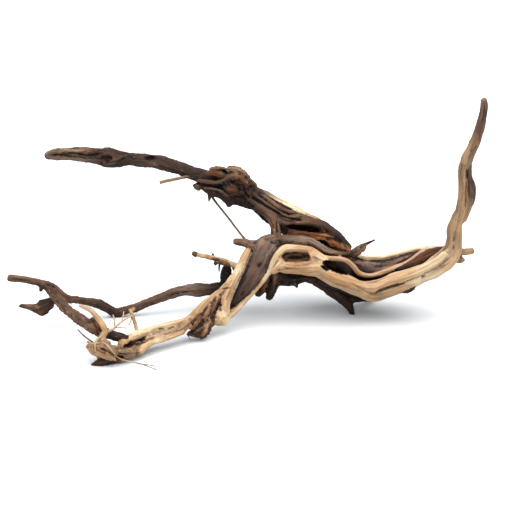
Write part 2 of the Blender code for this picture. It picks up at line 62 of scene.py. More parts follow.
# Each limb: the colours along it, how rough it is, and its stations (across, up, back, wide, thick) in mm
limbs = {
    "upperLimb": (("amber", "russet", "walnut", "shadeBlack", "umber", "umber", "walnut", "umber", "bark", "ash"),
        0.5, [
        (89, 54, 30, 20, 24), (76, 66, 30, 27, 26), (59, 77.5, 28, 32, 28), (40, 88.5, 26, 31, 28),
        (20, 101, 25, 28, 26), (0, 113.5, 24, 22, 24), (-20, 125, 24, 26, 25), (-30, 129, 24, 28, 25),
        (-40, 133, 25, 20, 19), (-50, 136, 26, 15, 16), (-60, 139.5, 28, 14, 15), (-80, 147, 32, 13, 13),
        (-100, 152.4, 36, 13.5, 13), (-120, 154.3, 40, 12.5, 12), (-130, 154.8, 41, 13.5, 12),
        (-140, 155.8, 42, 17.5, 14), (-150, 156.8, 43, 18.5, 14), (-160, 158.3, 45, 15.5, 13),
        (-170, 159.5, 46, 14, 12), (-190, 159.5, 48, 11, 10), (-200, 159.3, 49, 11.5, 10),
        (-207, 158.9, 50, 9, 9), (-212, 158.5, 50, 6, 6)]),
    "upperTopRidge": (("olive", "bark", "dun", "tan", "tan", "dun", "slate", "slate", "slate"), 0.3, [
        (-18, 141, 26, 5, 8), (-9, 133, 26, 6, 10), (0, 124.5, 26, 5, 10), (10, 119.5, 27, 6, 10),
        (30, 108, 28, 6, 10), (50, 98.5, 29, 6, 10), (64, 91, 30, 6, 10), (77, 79, 31, 5, 10),
        (91, 64, 32, 5, 8)]),
    "cavityLip": (("umber", "bark", "rough", "ash", "bark", "walnut", "slate"), 0.4, [
        (-5, 112, 14, 6, 8), (8, 107, 13, 6, 9), (18, 100, 13, 6, 9), (26, 93, 13, 6, 9),
        (34, 90.5, 13, 6, 9), (52, 91, 14, 6, 9), (66, 90, 17, 5, 9)]),
    "leftButtress": (("umber", "umber", "bark", "rough", "bark", "ash"), 0.5, [
        (-2, 108, 10, 7, 9), (7, 102.5, 7, 8, 10), (15, 95, 5, 9, 10), (18.5, 86, 3, 9, 10),
        (19, 76, 0, 11, 12), (20, 70, -3, 14, 14)]),
    "innerStreak": (("umber", "amber", "amber", "russet"), 0.4, [
        (35, 82, 10, 8, 10), (50, 76, 10, 9, 12), (70, 72, 12, 8, 12), (88, 64, 16, 7, 12)]),
    "backMiddle": (("umber", "bark", "ash", "bark", "bark", "umber", "umber"), 0.5, [
        (-20, 124, 38, 7, 8), (10, 108, 41, 7, 10), (40, 89, 44, 7, 11), (70, 68, 45, 7, 12),
        (88, 53, 42, 8, 14), (99, 40, 34, 10, 14), (104, 28, 28, 12, 12)]),
    "backHigh": (("bark", "dun", "hazel", "drift", "hazel"), 0.3, [
        (-6, 127, 34, 5, 8), (14, 114, 38, 5, 9), (38, 100, 41, 5, 9), (60, 86, 42, 5, 9),
        (80, 68, 40, 5, 9)]),
    "backLow": (("umber", "bark", "rough", "bark", "umber"), 0.5, [
        (-12, 114, 34, 5, 8), (12, 98, 38, 6, 10), (36, 78, 40, 7, 12), (62, 57, 40, 8, 12),
        (84, 40, 34, 8, 12)]),
    "knotBurl": (("umber", "umber", "russet", "umber"), 0.8, [
        (-36, 138, 18, 12, 12), (-28, 135, 17, 24, 20), (-20, 132, 17, 27, 22), (-10, 127, 18, 18, 18)]),
    "knotLens": (("bark", "russet", "russet", "bark"), 0.3, [
        (-51, 140, 16, 3, 5), (-46, 141, 14, 6, 9), (-40, 141, 12, 7.5, 10), (-34, 138, 12, 5, 8)]),
    "knotBumps": (("bark", "rough", "umber", "rough", "rough"), 0.6, [
        (-47, 143, 24, 6, 8), (-40, 145, 24, 6, 8), (-31, 143, 24, 5, 8), (-24, 145, 24, 6, 8),
        (-14, 140, 24, 6, 8)]),
    # The near-black along the droop is painted shade under the bark sheet's arc
    "barkDroop": (("umber", "shadeBlack", "shadeBlack", "shadeBlack", "umber", "shadeBlack", "umber"), 0.5, [
        (-64, 128.5, 22, 4, 5), (-55, 127.5, 20, 5.5, 6), (-46, 122.5, 18, 8, 9), (-36, 120, 17, 9, 10),
        (-28, 115, 17, 11, 10), (-19, 113, 18, 9, 10), (-5, 108, 18, 9, 10)]),
    "dripLeft": (("umber", "shadeBlack"), 0.4, [
        (-46, 121, 18, 6, 6), (-47.5, 115, 18, 3.5, 4), (-48, 111, 18, 2, 2.5)]),
    "dripRight": (("shadeBlack", "shadeBlack"), 0.4, [
        (-25, 114, 17, 6, 6), (-27, 110, 17, 4, 4), (-28.5, 107, 17, 2.5, 2.5)]),
    "trunkPlate": (("ash", "ash", "bark", "bark", "umber", "shadeBlack"), 0.45, [
        (18, 72, -12, 22, 14), (8, 62, -16, 24, 14), (-1, 48, -22, 24, 14), (-9, 33, -30, 20, 12),
        (-18, 18, -38, 13, 10), (-27, 6, -46, 6, 8)]),
    "leftRidge": (("tan", "tan", "cream", "cream", "tan", "tan", "tan", "cream", "ochre"), 0.25, [
        (-8, 64, -20, 8, 12), (-11, 57, -24, 8.5, 13), (-15, 48, -28, 9, 14), (-25, 29, -41, 10, 15),
        (-31, 16, -48, 10, 14), (-32.5, 5, -54, 12, 13), (-33, -3, -58, 15, 12), (-38, -6.5, -61, 14, 10),
        (-43, -9, -63, 5, 6)]),
    "rightRidge": (("tan", "tan", "tan", "tan", "cream", "cream", "cream", "tan", "ochre", "tan"), 0.15, [
        (-27, 1, -50, 5, 7), (-18, 6.5, -46, 4.5, 8), (-4, 21, -38, 4.5, 8), (9, 37, -31, 5, 9),
        (18, 54, -27, 6, 10), (23, 61, -25, 6.5, 10), (30, 65.5, -23, 7, 10), (50, 64, -22, 7.5, 10),
        (58, 60.5, -23, 8, 11), (66, 56, -24, 7, 10)]),
    "topBand": (("bark", "bark", "bark", "ash", "ash", "ash", "bark", "umber", "umber", "bark"), 0.4, [
        (8, 74, -8, 8, 14), (20, 75, -8, 8, 14), (48, 73, -8, 9, 14), (58, 69.5, -8, 9, 14),
        (68, 63, -8, 8, 14), (78, 60.5, -8, 6, 12), (88, 59.5, -6, 5, 10), (95, 60, -6, 6, 8),
        (101, 64, -8, 7, 7), (107, 68.5, -10, 5, 5), (112, 71, -12, 3, 3)]),
    "archCore": (("ash", "bark", "bark", "umber"), 0.4, [
        (15, 61, -10, 28, 20), (35, 60, -9, 29, 24), (55, 57, -7, 27, 26), (70, 51, -4, 22, 28)]),
    "backCore": (("umber", "russet", "umber", "shadeBlack", "umber"), 0.5, [
        (25, 66, 8, 22, 22), (45, 64, 12, 26, 28), (65, 57, 14, 26, 30), (82, 47, 14, 22, 28),
        (96, 37, 12, 18, 24)]),
    "underMass": (("umber", "shadeBlack", "shadeBlack", "umber", "umber"), 0.6, [
        (18, 36, -12, 16, 16), (28, 35, -10, 14, 18), (38, 35, -8, 12, 18), (48, 36, -6, 9, 18),
        (58, 34, -5, 11, 18)]),
    "topStub": (("bark", "ash", "umber", "ash", "bark"), 0.5, [
        (4, 68, -14, 9, 9), (-4, 70, -16, 7.5, 8), (-12, 71.5, -17, 7, 7), (-19, 72.5, -18, 6.5, 6.5),
        (-22.5, 73, -18, 5.5, 5.5)]),
    "lowStub": (("umber", "russet", "umber", "shadeBlack", "shadeBlack"), 0.5, [
        (20, 42, -16, 12, 12), (17, 32, -17, 11, 10), (15, 24, -18, 9, 9), (12.5, 17, -19, 7.5, 8),
        (11, 14, -19, 5, 6)]),
    "stubLump": (("shadeBlack", "umber", "umber", "shadeBlack"), 0.5, [
        (10, 36, -14, 10, 10), (5, 27, -16, 10, 9), (2, 21, -18, 8, 8), (-1, 18.5, -20, 4, 5)]),
    "leg": (("umber", "russet", "umber", "umber", "umber", "shadeBlack", "shadeBlack", "shadeBlack"), 0.4, [
        (50, 38, -4, 10, 14), (60, 33, -3, 11, 14), (70, 27.5, -2, 12.5, 14), (79, 21, -1, 12, 13),
        (87, 14, 0, 11, 12), (92, 8, 0, 8, 9), (94.5, 3, 0, 5.5, 7), (96, -1.5, 0, 4.5, 6)]),
    "legLedge": (("shadeBlack", "umber", "shadeBlack", "shadeBlack"), 0.4, [
        (86, 15, 1, 8, 10), (98, 14, 2, 6, 10), (106, 14, 0, 4, 8), (113, 14.5, -4, 2.5, 4)]),
    "rearFoot": (("umber", "bark", "umber", "shadeBlack"), 0.5, [
        (98, 28, 10, 16, 16), (108, 22, 26, 12, 12), (115, 18, 42, 9, 9), (116, 15, 52, 8, 8)]),
    "frontFoot": (("maroon", "umber", "umber", "shadeBlack"), 0.5, [
        (-138, -42, -134, 9, 11), (-148, -46, -138, 8, 10), (-155, -48, -139, 7.5, 9),
        (-162, -49, -140, 4, 6)]),
    "mainLimb": (("tan", "ochre", "tan", "tan", "tan", "tan", "tan", "cream", "cream", "tan", "drift",
        "drift", "drift", "hazel", "hazel", "dun", "dun", "ash"), 0.15, [
        (18, 46, -30, 5, 8), (28, 46, -31, 11, 14), (40, 45, -32, 12, 16), (52, 44.8, -32, 13, 18),
        (62, 45.5, -31, 17, 20), (72, 39.5, -30, 17, 20), (82, 34, -29, 16.5, 20), (92, 30, -28, 16.5, 20),
        (102, 25.5, -27, 17, 20), (118, 23.5, -25, 20, 22), (138, 30, -25, 20.5, 22),
        (150, 34, -25, 20.5, 22), (162, 38.5, -24, 18.5, 22), (172, 43, -24, 18.5, 22),
        (181, 48.5, -23, 19, 22), (190, 56, -22, 20, 22), (196, 65, -21, 18, 20), (197.5, 75, -20, 16, 18),
        (198, 85, -20, 15.5, 17), (201, 95, -19, 13, 15), (204.5, 105, -18, 10, 12),
        (206, 125, -16, 8.5, 10), (207, 145, -12, 9, 10), (213, 161, -8, 9.5, 10), (221, 180, -4, 9.5, 10),
        (226.5, 200, 0, 8.5, 9), (227.3, 208, 0, 8, 8), (227.8, 216, 0, 5, 6)]),
    "uprightLobe": (("dun", "bark", "umber", "bark", "umber", "umber", "bark"), 0.3, [
        (212, 105, -12, 4, 6), (214, 112, -10, 8, 9), (214.5, 120, -9, 9, 10), (214.5, 128, -9, 9, 9),
        (213, 136, -10, 5.5, 7), (213, 145, -10, 4.5, 6), (214, 153, -8, 3.5, 5)]),
    "thinRidge": (("tan", "blush", "blush", "blush", "blush", "blush", "blush", "blush"), 0.1, [
        (64, 56, -22, 6, 8), (74, 55.5, -18, 5, 7), (84, 55, -15, 5, 7), (91, 52.5, -13, 5.5, 7),
        (97, 47, -11, 5.5, 7), (102, 41, -9, 5, 7), (110, 38.3, -7, 5, 7), (120, 39.5, -6, 4.5, 7),
        (140, 46.8, -4, 4.5, 7), (150, 51.2, -3, 4.5, 6), (165, 61.5, 0, 4.5, 6), (172, 64.5, 4, 4, 6),
        (180, 66, 8, 3.5, 5)]),
    "backRim": (("tan", "ivory", "ivory", "ivory", "ivory", "tan"), 0.1, [
        (92, 62, 34, 5, 9), (100, 60.5, 34, 4.5, 8), (110, 58, 33, 4.5, 8), (130, 57.5, 31, 4.5, 8),
        (150, 63.5, 26, 5, 8), (158, 66, 23, 5, 8), (176, 66, 13, 4.5, 8), (190, 65, 2, 6, 9)]),
    "backWall": (("umber", "plum", "plum", "plum", "plum", "plum"), 0.35, [
        (95, 52, 26, 16, 9), (110, 50, 24, 16, 9), (125, 50, 20, 15, 9), (140, 54, 16, 12, 9),
        (152, 58, 12, 9, 9), (164, 61.5, 9, 7, 8)]),
    "innerWall": (("shadeBlack", "maroon", "russet", "russet", "maroon"), 0.3, [
        (140, 43, -6, 6, 10), (155, 48.5, -6, 9, 12), (168, 55, -6, 13, 12), (178, 60, -8, 12, 14),
        (188, 63, -12, 10, 14)]),
    # The trough floor's near-black is painted shade in the recess
    "troughFloor": (("shadeBlack", "shadeBlack", "shadeBlack", "shadeBlack", "shadeBlack", "shadeBlack", "maroon"), 0.3, [
        (60, 40, -5, 16, 30), (80, 31, -2, 14, 34), (95, 26, 0, 16, 36), (110, 24, 0, 16, 36),
        (125, 28, 0, 14, 34), (145, 35, -2, 14, 30), (165, 44, -6, 13, 24), (185, 56, -12, 14, 18)]),
    "backFlute": (("bark", "ash", "hazel", "drift", "hazel", "drift"), 0.3, [
        (70, 44, 22, 10, 12), (92, 38, 26, 10, 12), (115, 38, 24, 10, 12), (140, 46, 18, 9, 12),
        (165, 55, 8, 8, 10), (186, 62, -6, 8, 10)]),
    "stubHigh": (("hazel", "dun", "bark"), 0.3, [
        (200, 63, -12, 8, 9), (208, 63, -8, 5, 5), (217, 64, -4, 5, 5)]),
    "stubLow": (("hazel", "bark", "umber"), 0.3, [
        (196, 56, -16, 9, 9), (203, 54, -12, 8, 7), (207, 54, -10, 4.5, 5)]),
    "smallBranch": (("tan", "tan", "cream", "tan", "rough", "tan", "clay"), 0.5, [
        (-12, 42, -20, 8, 8), (-16, 45, -18, 6, 6), (-21, 48, -14, 5.5, 5.5), (-32, 52.5, -11, 6, 6),
        (-38, 54, -10, 5.5, 5.5), (-45, 56.5, -9, 4, 4), (-58, 59.6, -8, 3.4, 3.4),
        (-64, 60.5, -8, 4.6, 4.6)]),
    # A near-black stub that stands for the shade in the gap between the small branch and the low limb
    "blackWedge": (("shadeBlack", "shadeBlack", "shadeBlack", "shadeBlack"), 0.4, [
        (-29.5, 50, -9, 4, 5), (-30, 46, -6, 7.5, 8), (-30.5, 40, 0, 11, 9), (-31, 33, 6, 11, 10),
        (-32, 26, 8, 9, 10)]),
    "lowKnob": (("rough", "rough"), 0.6, [
        (-37, 53, -10, 4, 4), (-41, 50.5, -10, 4, 4), (-43, 49, -10, 2.5, 2.5)]),
    "lowLimb": (("shadeBlack", "umber", "umber", "ash", "bark", "bark", "umber", "umber", "bark", "bark", "bark",
        "bark"), 0.45, [
        (-2, 34, 2, 16, 16), (-8, 30, 10, 12, 12), (-25, 27, 10, 13, 12), (-40, 25, 8, 13, 12),
        (-50, 24, 7, 12, 12), (-60, 23.7, 6, 13, 12), (-70, 23.3, 4, 10, 11), (-80, 21.5, 2, 9.5, 10),
        (-90, 18, 0, 9, 10), (-110, 10.5, -4, 8.3, 9), (-120, 6, -6, 8.5, 9), (-130, 3.6, -8, 8.5, 9),
        (-141, 0.8, -9, 9.5, 9.5), (-150, 5.5, -12, 9, 9), (-160, 10.5, -16, 8.3, 9),
        (-180, 14, -25, 7.6, 9), (-190, 15.5, -30, 8.2, 9), (-204, 27, -38, 8, 9), (-213, 30.3, -41, 8, 9),
        (-232, 34.2, -46, 7.3, 8), (-249, 36.2, -50, 7, 7)]),
    "forkLimb": (("umber", "bark", "bark", "bark", "rough", "umber", "shadeBlack"), 0.7, [
        (-210, 28.5, -42, 8, 8), (-204, 21, -46, 9, 9), (-199, 14.5, -50, 9.5, 9), (-187, 2.5, -64, 10, 9),
        (-171, -8.5, -84, 11, 10), (-155, -17.5, -102, 11, 11), (-146, -20.5, -108, 10, 10),
        (-129, -26, -118, 9, 9)]),
    "forkBlob": (("umber", "umber", "bark", "umber"), 0.6, [
        (-203, 13, -44, 8, 8), (-210, 9.5, -44, 12, 10), (-216, 6, -44, 16, 11), (-221, 6, -45, 9, 8),
        (-233, 7.7, -47, 4.5, 5), (-238, 8.6, -48, 3, 3)]),
    "forkStub": (("umber", "umber"), 0.6, [
        (-166, -4, -88, 6, 6), (-161, -11, -92, 8, 8), (-157, -18, -100, 8, 8)]),
    "forkDrip": (("umber", "shadeBlack"), 0.4, [
        (-213, 29, -42, 5, 5), (-216, 25, -42, 4, 4), (-217, 22, -42, 2.5, 2.5)]),
    "frontUpperRidge": (("tan", "tan", "tan", "tan", "ochre", "ochre", "cream", "cream", "ivory", "cream",
        "ochre"), 0.3, [
        (-24, 38, -40, 5, 8), (-29, 31, -44, 5, 9), (-36, 24, -48, 5, 9), (-45, 16.5, -54, 5.5, 10),
        (-52, 10.5, -60, 6.5, 11), (-58.5, 3, -66, 8, 12), (-66, -5.5, -72, 9.5, 13),
        (-76, -10, -79, 9.5, 13), (-92, -13.5, -90, 9, 12), (-112, -18.5, -102, 8, 11),
        (-121, -21.5, -108, 8, 11), (-129, -25, -113, 7.5, 10), (-135, -28.5, -117, 6, 8),
        (-138, -32, -120, 4.5, 7)]),
    "frontLowerRidge": (("ochre", "drift", "ochre", "tan", "tan", "tan", "clay"), 0.25, [
        (-68, -6, -80, 9, 10), (-76, -14, -84, 12, 12), (-86, -17.5, -90, 11, 12), (-96, -21, -97, 10, 12),
        (-105, -25, -105, 8, 11), (-112, -30, -113, 7.5, 10), (-117, -35, -119, 7, 9),
        (-120, -40, -124, 5, 7)]),
    "barkStrip": (("bark", "umber", "shadeBlack", "umber", "bark", "umber"), 1, [
        (-33, 22, -44, 7, 10), (-41, 12, -52, 11, 12), (-48, 2, -60, 15, 13), (-53, -8, -68, 19, 14),
        (-57, -14, -75, 17, 12), (-65, -17.5, -78, 9, 9)]),
    "barkLump": (("shadeBlack", "umber", "umber", "shadeBlack"), 1, [
        (-49, -14, -71, 8, 7), (-54, -20, -76, 9, 8), (-60, -20.5, -78, 6, 6), (-70, -20, -82, 5, 5)]),
    "brokenEnd": (("maroon", "brown", "hazel", "dun", "clay", "hazel", "clay"), 1, [
        (-120, -34, -117, 9, 13), (-130, -38, -127, 13, 16), (-140, -39.5, -133, 16, 16),
        (-150, -37.5, -134, 16, 16), (-160, -35, -135, 13, 14), (-167, -34.5, -136, 8, 9),
        (-170, -35, -137, 5, 6)]),
    "endLump": (("clay", "drift", "tan"), 0.5, [
        (-147, -31, -127, 6, 7), (-153, -27, -127, 7, 8), (-158, -28, -130, 6, 7)]),
}

# Raised strands, folds and lips that lie on the limbs, told as the limbs are
strands = {
    "plateFace": (("ash", "ash", "bark", "bark", "walnut", "umber", "shadeBlack"), 0.3, [
        (13, 71, -18, 24, 10), (7, 61, -22, 24.5, 10), (2.5, 50, -27, 24, 10), (-3, 40, -32, 22, 10),
        (-10, 30, -37, 19, 9), (-17.5, 20, -42, 12, 8), (-25, 10, -47, 6, 6)]),
    "plateShoulder": (("bark", "bark", "bark", "ash", "ash"), 0.7, [
        (6, 65, -17, 22, 10), (13, 70.5, -15, 17, 10), (24, 73, -13, 12, 10), (36, 73, -12, 10, 10),
        (50, 71, -12, 8, 9)]),
    "ovalLeft": (("tan", "tan", "cream", "tan"), 0.1, [
        (15, 41, -31, 6, 8), (20, 46, -31, 9, 11), (24, 51, -30, 9, 11), (25, 56, -29, 6, 9)]),
    "ovalRight": (("tan", "tan", "cream", "tan"), 0.1, [
        (52, 59, -27, 9, 12), (59, 56, -29, 12, 14), (65, 51, -30, 13, 16), (70, 46, -29, 10, 16)]),
    "tornEnd": (("tan", "cream", "tan", "ochre"), 1, [
        (-32, 2, -58, 12, 10), (-35, -2, -61, 13, 10), (-39, -6, -64, 10, 8), (-43, -8, -65, 5, 6)]),
    "mainRoll": (("tan", "ochre", "ochre", "tan", "tan", "tan", "cream", "cream"), 0.05, [
        (54, 47.5, -36, 6, 8), (65, 42, -37, 7, 8), (77, 36, -37.5, 8, 10), (91, 31, -37, 7.5, 10),
        (103, 27.8, -36, 7.5, 10), (116, 26.5, -35, 8.5, 10), (130, 32, -35, 9, 10), (148, 38, -35, 9, 10),
        (165, 44.5, -34, 8.5, 10), (180, 52.5, -33, 8, 10), (189, 61, -31, 7, 9)]),
    "mainUnderRoll": (("ochre", "hazel", "drift", "ochre", "tan"), 0.1, [
        (112, 19.5, -32, 7, 10), (122, 18.5, -33, 8, 10), (134, 22, -33, 8, 10), (146, 26.5, -33, 7, 9),
        (156, 31, -31, 5, 8)]),
    "barkFlake": (("umber", "shadeBlack", "umber"), 0.5, [
        (146, 22.5, -30, 3, 8), (151, 23, -32, 4.5, 8), (158, 26.5, -32, 3, 7)]),
    "troughBack": (("shadeBlack", "shadeBlack", "shadeBlack", "shadeBlack", "maroon", "russet"), 0.2, [
        (96, 44, 4, 12, 20), (108, 37, 5, 11, 20), (125, 37, 6, 11, 20), (145, 45, 5, 11, 18),
        (165, 57.5, 4, 11, 14), (180, 62, -3, 8, 10)]),
    "wallStart": (("umber", "bark", "plum"), 0.3, [
        (84, 54, 24, 14, 10), (92, 53, 25, 17, 10), (100, 51.5, 26, 18, 9)]),
    "wallHigh": (("bark", "plum", "plum", "plum", "plum"), 0.2, [
        (100, 52, 22, 7, 9), (112, 50.3, 20, 7, 9), (126, 50.5, 17, 6.5, 9), (140, 54, 12, 6, 8),
        (153, 58.6, 8, 5, 7)]),
    "wallMiddle": (("umber", "plum", "ash", "plum", "plum"), 0.2, [
        (96, 50, 20, 8, 9), (110, 48.5, 17, 8, 9), (125, 48, 14, 7.5, 9), (140, 52.5, 10, 7, 8),
        (156, 59.5, 7, 5, 7)]),
    "wallLow": (("shadeBlack", "bark", "plum", "russet", "russet"), 0.2, [
        (104, 44.5, 10, 6, 8), (114, 43.5, 9, 6.5, 8), (126, 43.5, 7, 6.5, 8), (140, 48.5, 5, 6, 7),
        (154, 55, 4, 4.5, 6)]),
    "rimBright": (("cream", "ivory", "ivory", "ivory", "ivory", "ivory", "cream"), 0.05, [
        (93, 63.5, 28, 3, 6), (105, 57.8, 22, 4.8, 8), (124, 56.4, 17.5, 5.4, 8), (136.5, 59, 13.5, 5.2, 8),
        (149, 62.6, 10, 5.4, 8), (161.5, 65.8, 7, 5.2, 7), (176, 66.3, 3, 4.6, 6)]),
    "underStreakA": (("rough", "russet", "bark", "umber"), 0.4, [
        (3, 39, -24, 5, 7), (1, 32, -24, 5, 7), (-1, 25, -23, 4, 6), (-1.5, 20, -22, 3, 4)]),
    "underStreakB": (("rough", "bark", "russet", "umber"), 0.4, [
        (11, 41, -24, 6, 8), (9.5, 33, -23, 5, 7), (7, 26, -22, 5, 6), (5.5, 21, -21, 3, 4)]),
    "underStreakC": (("russet", "rough", "umber", "umber"), 0.4, [
        (19, 44, -24, 5, 8), (18, 36, -23, 5, 7), (16.5, 28, -22, 4, 6), (15.5, 23, -21, 3, 4)]),
    "barkShardA": (("rough", "ochre", "rough"), 0.5, [
        (-44, 14, -56, 2, 4), (-48, 6, -63, 3, 5), (-51, -2, -69, 2.4, 4)]),
    "barkShardB": (("maroon", "rough", "russet"), 0.7, [
        (-50, 4, -66, 3, 5), (-56, -6, -74, 4, 5), (-60, -15, -79, 3, 4)]),
    "barkShardC": (("russet", "rough", "maroon"), 0.7, [
        (-43, 3, -61, 3, 5), (-47, -7, -69, 4, 5), (-50, -17, -75, 3, 4)]),
    "lobeWeb": (("drift", "hazel", "dun", "bark", "umber", "bark", "dun"), 0.2, [
        (205.5, 92, -17, 7, 9), (208.5, 100, -15.5, 8, 10), (211, 108, -14, 9, 10), (212, 120, -13, 10, 10),
        (211.5, 132, -12.5, 9, 9), (212, 142, -12, 6, 8), (212.5, 153, -9, 5, 6)]),
    "uprightLeft": (("drift", "drift", "dun", "bark", "bark", "ash"), 0.1, [
        (206.5, 150, -15, 5, 7), (208.5, 158, -14, 6, 8), (217, 173, -10, 5.5, 7), (222.5, 190, -6, 5, 7),
        (225.2, 203, -4, 4.5, 6), (225.8, 215, -2, 4.5, 6)]),
    "uprightRight": (("hazel", "dun", "bark", "bark", "umber", "umber"), 0.1, [
        (213, 151, -10, 5, 7), (215.5, 159, -9, 6, 8), (221.5, 173, -7, 5.5, 7), (226, 190, -3, 5, 7),
        (228.2, 203, -1, 4.5, 6), (229, 212.5, 0, 4.5, 6)]),
    "rimPale": (("bark", "hazel", "cream", "ivory", "cream", "ochre", "hazel"), 0.1, [
        (-1, 125, 24, 2.2, 6), (10, 119, 24, 2.6, 7), (21, 112.8, 24, 3.6, 8), (32, 106.8, 24, 4.4, 8),
        (45, 101, 24, 4.6, 8), (58, 95.4, 25, 3.8, 7), (67, 89.6, 27, 2.8, 6)]),
    "armRidgeLow": (("umber", "bark", "rough", "bark", "umber"), 0.35, [
        (-10, 116, 11, 4, 6), (4, 107.5, 9, 5, 7), (14, 100.5, 7.5, 5, 7), (22, 92.5, 8, 6, 7),
        (33, 89.5, 10, 5, 7)]),
    "armRidgeMiddle": (("umber", "bark", "rough", "rough", "rough", "rough"), 0.35, [
        (-4, 120, 12.5, 4, 6), (8, 112, 12, 4.5, 6), (19, 105, 12, 5, 7), (28, 97.5, 12, 5, 7),
        (37, 96, 12, 5, 7), (46, 99, 13, 4, 6)]),
    "armRidgeHigh": (("bark", "rough", "bark", "rough", "bark"), 0.35, [
        (6, 118.5, 17, 3.5, 6), (17, 110, 15, 4, 6), (28, 103, 14.5, 4.5, 6), (40, 98.5, 14.5, 5, 7),
        (52, 95.5, 17, 4, 6)]),
    "slateSheet": (("rough", "bark", "walnut", "slate", "slate", "umber"), 0.2, [
        (38, 91, 11, 5, 8), (52, 92, 10.5, 7, 9), (64, 89.5, 11, 9, 9), (74, 83, 14, 9, 9),
        (84, 75, 18, 8, 9), (93, 65, 24, 7, 9)]),
    "amberHigh": (("maroon", "russet", "russet", "amber", "russet"), 0.8, [
        (31, 81, 7, 6, 7), (45, 80, 7, 7, 8), (58, 79, 8, 7, 8), (68, 78, 10, 7, 8), (76, 76, 14, 5, 6)]),
    "amberLow": (("maroon", "russet", "amber", "amber"), 0.8, [
        (64, 73, 8, 6, 7), (74, 70, 10, 7, 8), (84, 66.5, 14, 7, 8), (93, 61, 19, 6, 7)]),
    "lensArc": (("walnut", "bark", "bark", "bark", "rough"), 0.3, [
        (-60, 133, 16, 3.4, 5), (-49.5, 132, 13, 3.5, 5), (-40.5, 131.5, 10.5, 3.5, 5),
        (-33, 133.5, 8.5, 3.3, 5), (-27, 137.5, 8, 3.4, 5), (-20, 138.5, 9, 3.4, 5)]),
    "lensRim": (("bark", "rough", "hazel"), 0.5, [
        (-47, 144, 18, 3, 6), (-38, 146, 17, 3.2, 6), (-31, 145, 17, 3.5, 6)]),
    "sheetArc": (("bark", "ash", "bark"), 0.2, [
        (-53, 125.8, 14, 1.9, 4), (-42, 125, 12, 1.9, 4), (-34, 122, 11, 1.9, 4),
        (-28, 116.8, 11, 1.9, 4)]),
    "sheetKnob": (("umber", "bark", "umber"), 0.6, [
        (-62.8, 129.8, 17, 4, 5), (-60, 127.2, 16, 7, 7), (-55.5, 125.8, 15, 6.5, 7)]),
    "knotBlob": (("maroon", "maroon", "umber"), 0.6, [
        (-29, 125, 8, 6, 8), (-24, 124.5, 6, 8, 9), (-19, 123, 7.5, 6, 8)]),
    "knotCrest": (("rough", "hazel", "rough", "bark", "rough"), 0.9, [
        (-30, 144.5, 13, 4, 7), (-22, 144.5, 12, 5, 8), (-14, 140.5, 12, 5, 8), (-7, 134, 14, 4, 7),
        (0, 127, 17, 4, 6)]),
    "tipTopStrand": (("ash", "olive", "ash", "rough", "umber"), 0.8, [
        (-208, 161, 45, 4, 6), (-197, 163, 43.5, 5, 6), (-186, 162.5, 42, 4.5, 6),
        (-172, 162.8, 40, 4.5, 6), (-158, 163.5, 38, 4, 6)]),
    "tipLowStrand": (("ash", "olive", "ash", "umber"), 0.5, [
        (-206, 156, 45, 4, 6), (-195, 156, 43, 4.5, 6), (-181, 155.6, 41, 4.5, 6), (-168, 154, 39, 4.5, 6),
        (-156, 151, 37, 4, 6)]),
    "mouthLens": (("umber", "bark", "umber"), 0.3, [
        (-154, 149.8, 36.5, 3, 5), (-146, 150.6, 35, 4, 6), (-133, 156.5, 35, 4, 6)]),
    "grooveBack": (("maroon", "russet", "maroon", "umber"), 0.5, [
        (-90, -17, -86, 5, 7), (-102, -22, -94, 6, 8), (-112, -26, -101, 8, 9), (-122, -30, -108, 9, 10),
        (-130, -33, -116, 9, 10)]),
    "ridgeTip": (("cream", "cream", "cream", "tan", "ochre"), 0.2, [
        (-106, -17.5, -103, 4, 7), (-112, -19, -107, 5, 8), (-119, -21.6, -111.5, 5.5, 9),
        (-126.5, -24.8, -116, 6, 9), (-133, -28.2, -119.5, 5.5, 8), (-137.5, -32, -122, 4.5, 7)]),
    "ridgeStreak": (("cream", "tan", "cream", "tan"), 0.1, [
        (-66, -3, -78, 3, 5), (-80, -8.5, -86, 3.5, 6), (-96, -12.5, -96, 3.5, 6),
        (-112, -16.5, -107, 3, 5)]),
    "lowerEdge": (("ochre", "tan", "tan", "cream", "tan", "tan"), 0.1, [
        (-72, -18, -88, 4, 7), (-84, -22.5, -95, 5, 8), (-95, -26, -103, 5, 8), (-106, -29.5, -112, 5, 8),
        (-113, -34, -119, 5.5, 8), (-117.5, -40, -126, 5.5, 7)]),
    "endChunk": (("brown", "dun", "hazel", "dun"), 0.9, [
        (-141, -35, -131, 8, 9), (-134, -38.5, -134, 10, 11), (-127, -39.5, -132, 9, 10),
        (-123, -38.5, -127, 6, 8)]),
    "endChip": (("hazel", "clay", "brown"), 0.8, [
        (-166, -34, -139, 4, 6), (-157, -37.5, -142, 6, 7), (-149, -40, -144, 6, 7),
        (-143, -42, -143, 4, 6)]),
    "endRidge": (("clay", "brown", "clay", "hazel"), 0.8, [
        (-163, -31, -137, 3.5, 5), (-155, -33, -140, 4, 6), (-148, -37, -143, 4, 6),
        (-141, -40, -143, 3, 5)]),
    "chunkEdge": (("clay", "hazel", "clay"), 0.6, [
        (-139, -37, -138, 2.5, 4), (-131, -37.5, -139, 3, 5), (-124.5, -36, -134, 2.5, 4)]),
    "endUnderStrand": (("tan", "tan", "ochre"), 0.4, [
        (-168, -36.5, -139, 4, 5), (-160, -39.5, -141, 4.5, 6), (-150, -42.5, -143, 4.5, 6),
        (-140, -45.5, -144, 4, 5), (-132, -46.5, -143, 3, 4)]),
    "endTopStrand": (("olive", "hazel", "olive"), 0.4, [
        (-158, -28, -134, 5, 6), (-152, -31, -137, 5, 6), (-145, -35, -139, 5, 6),
        (-140, -38, -139, 4, 5)]),
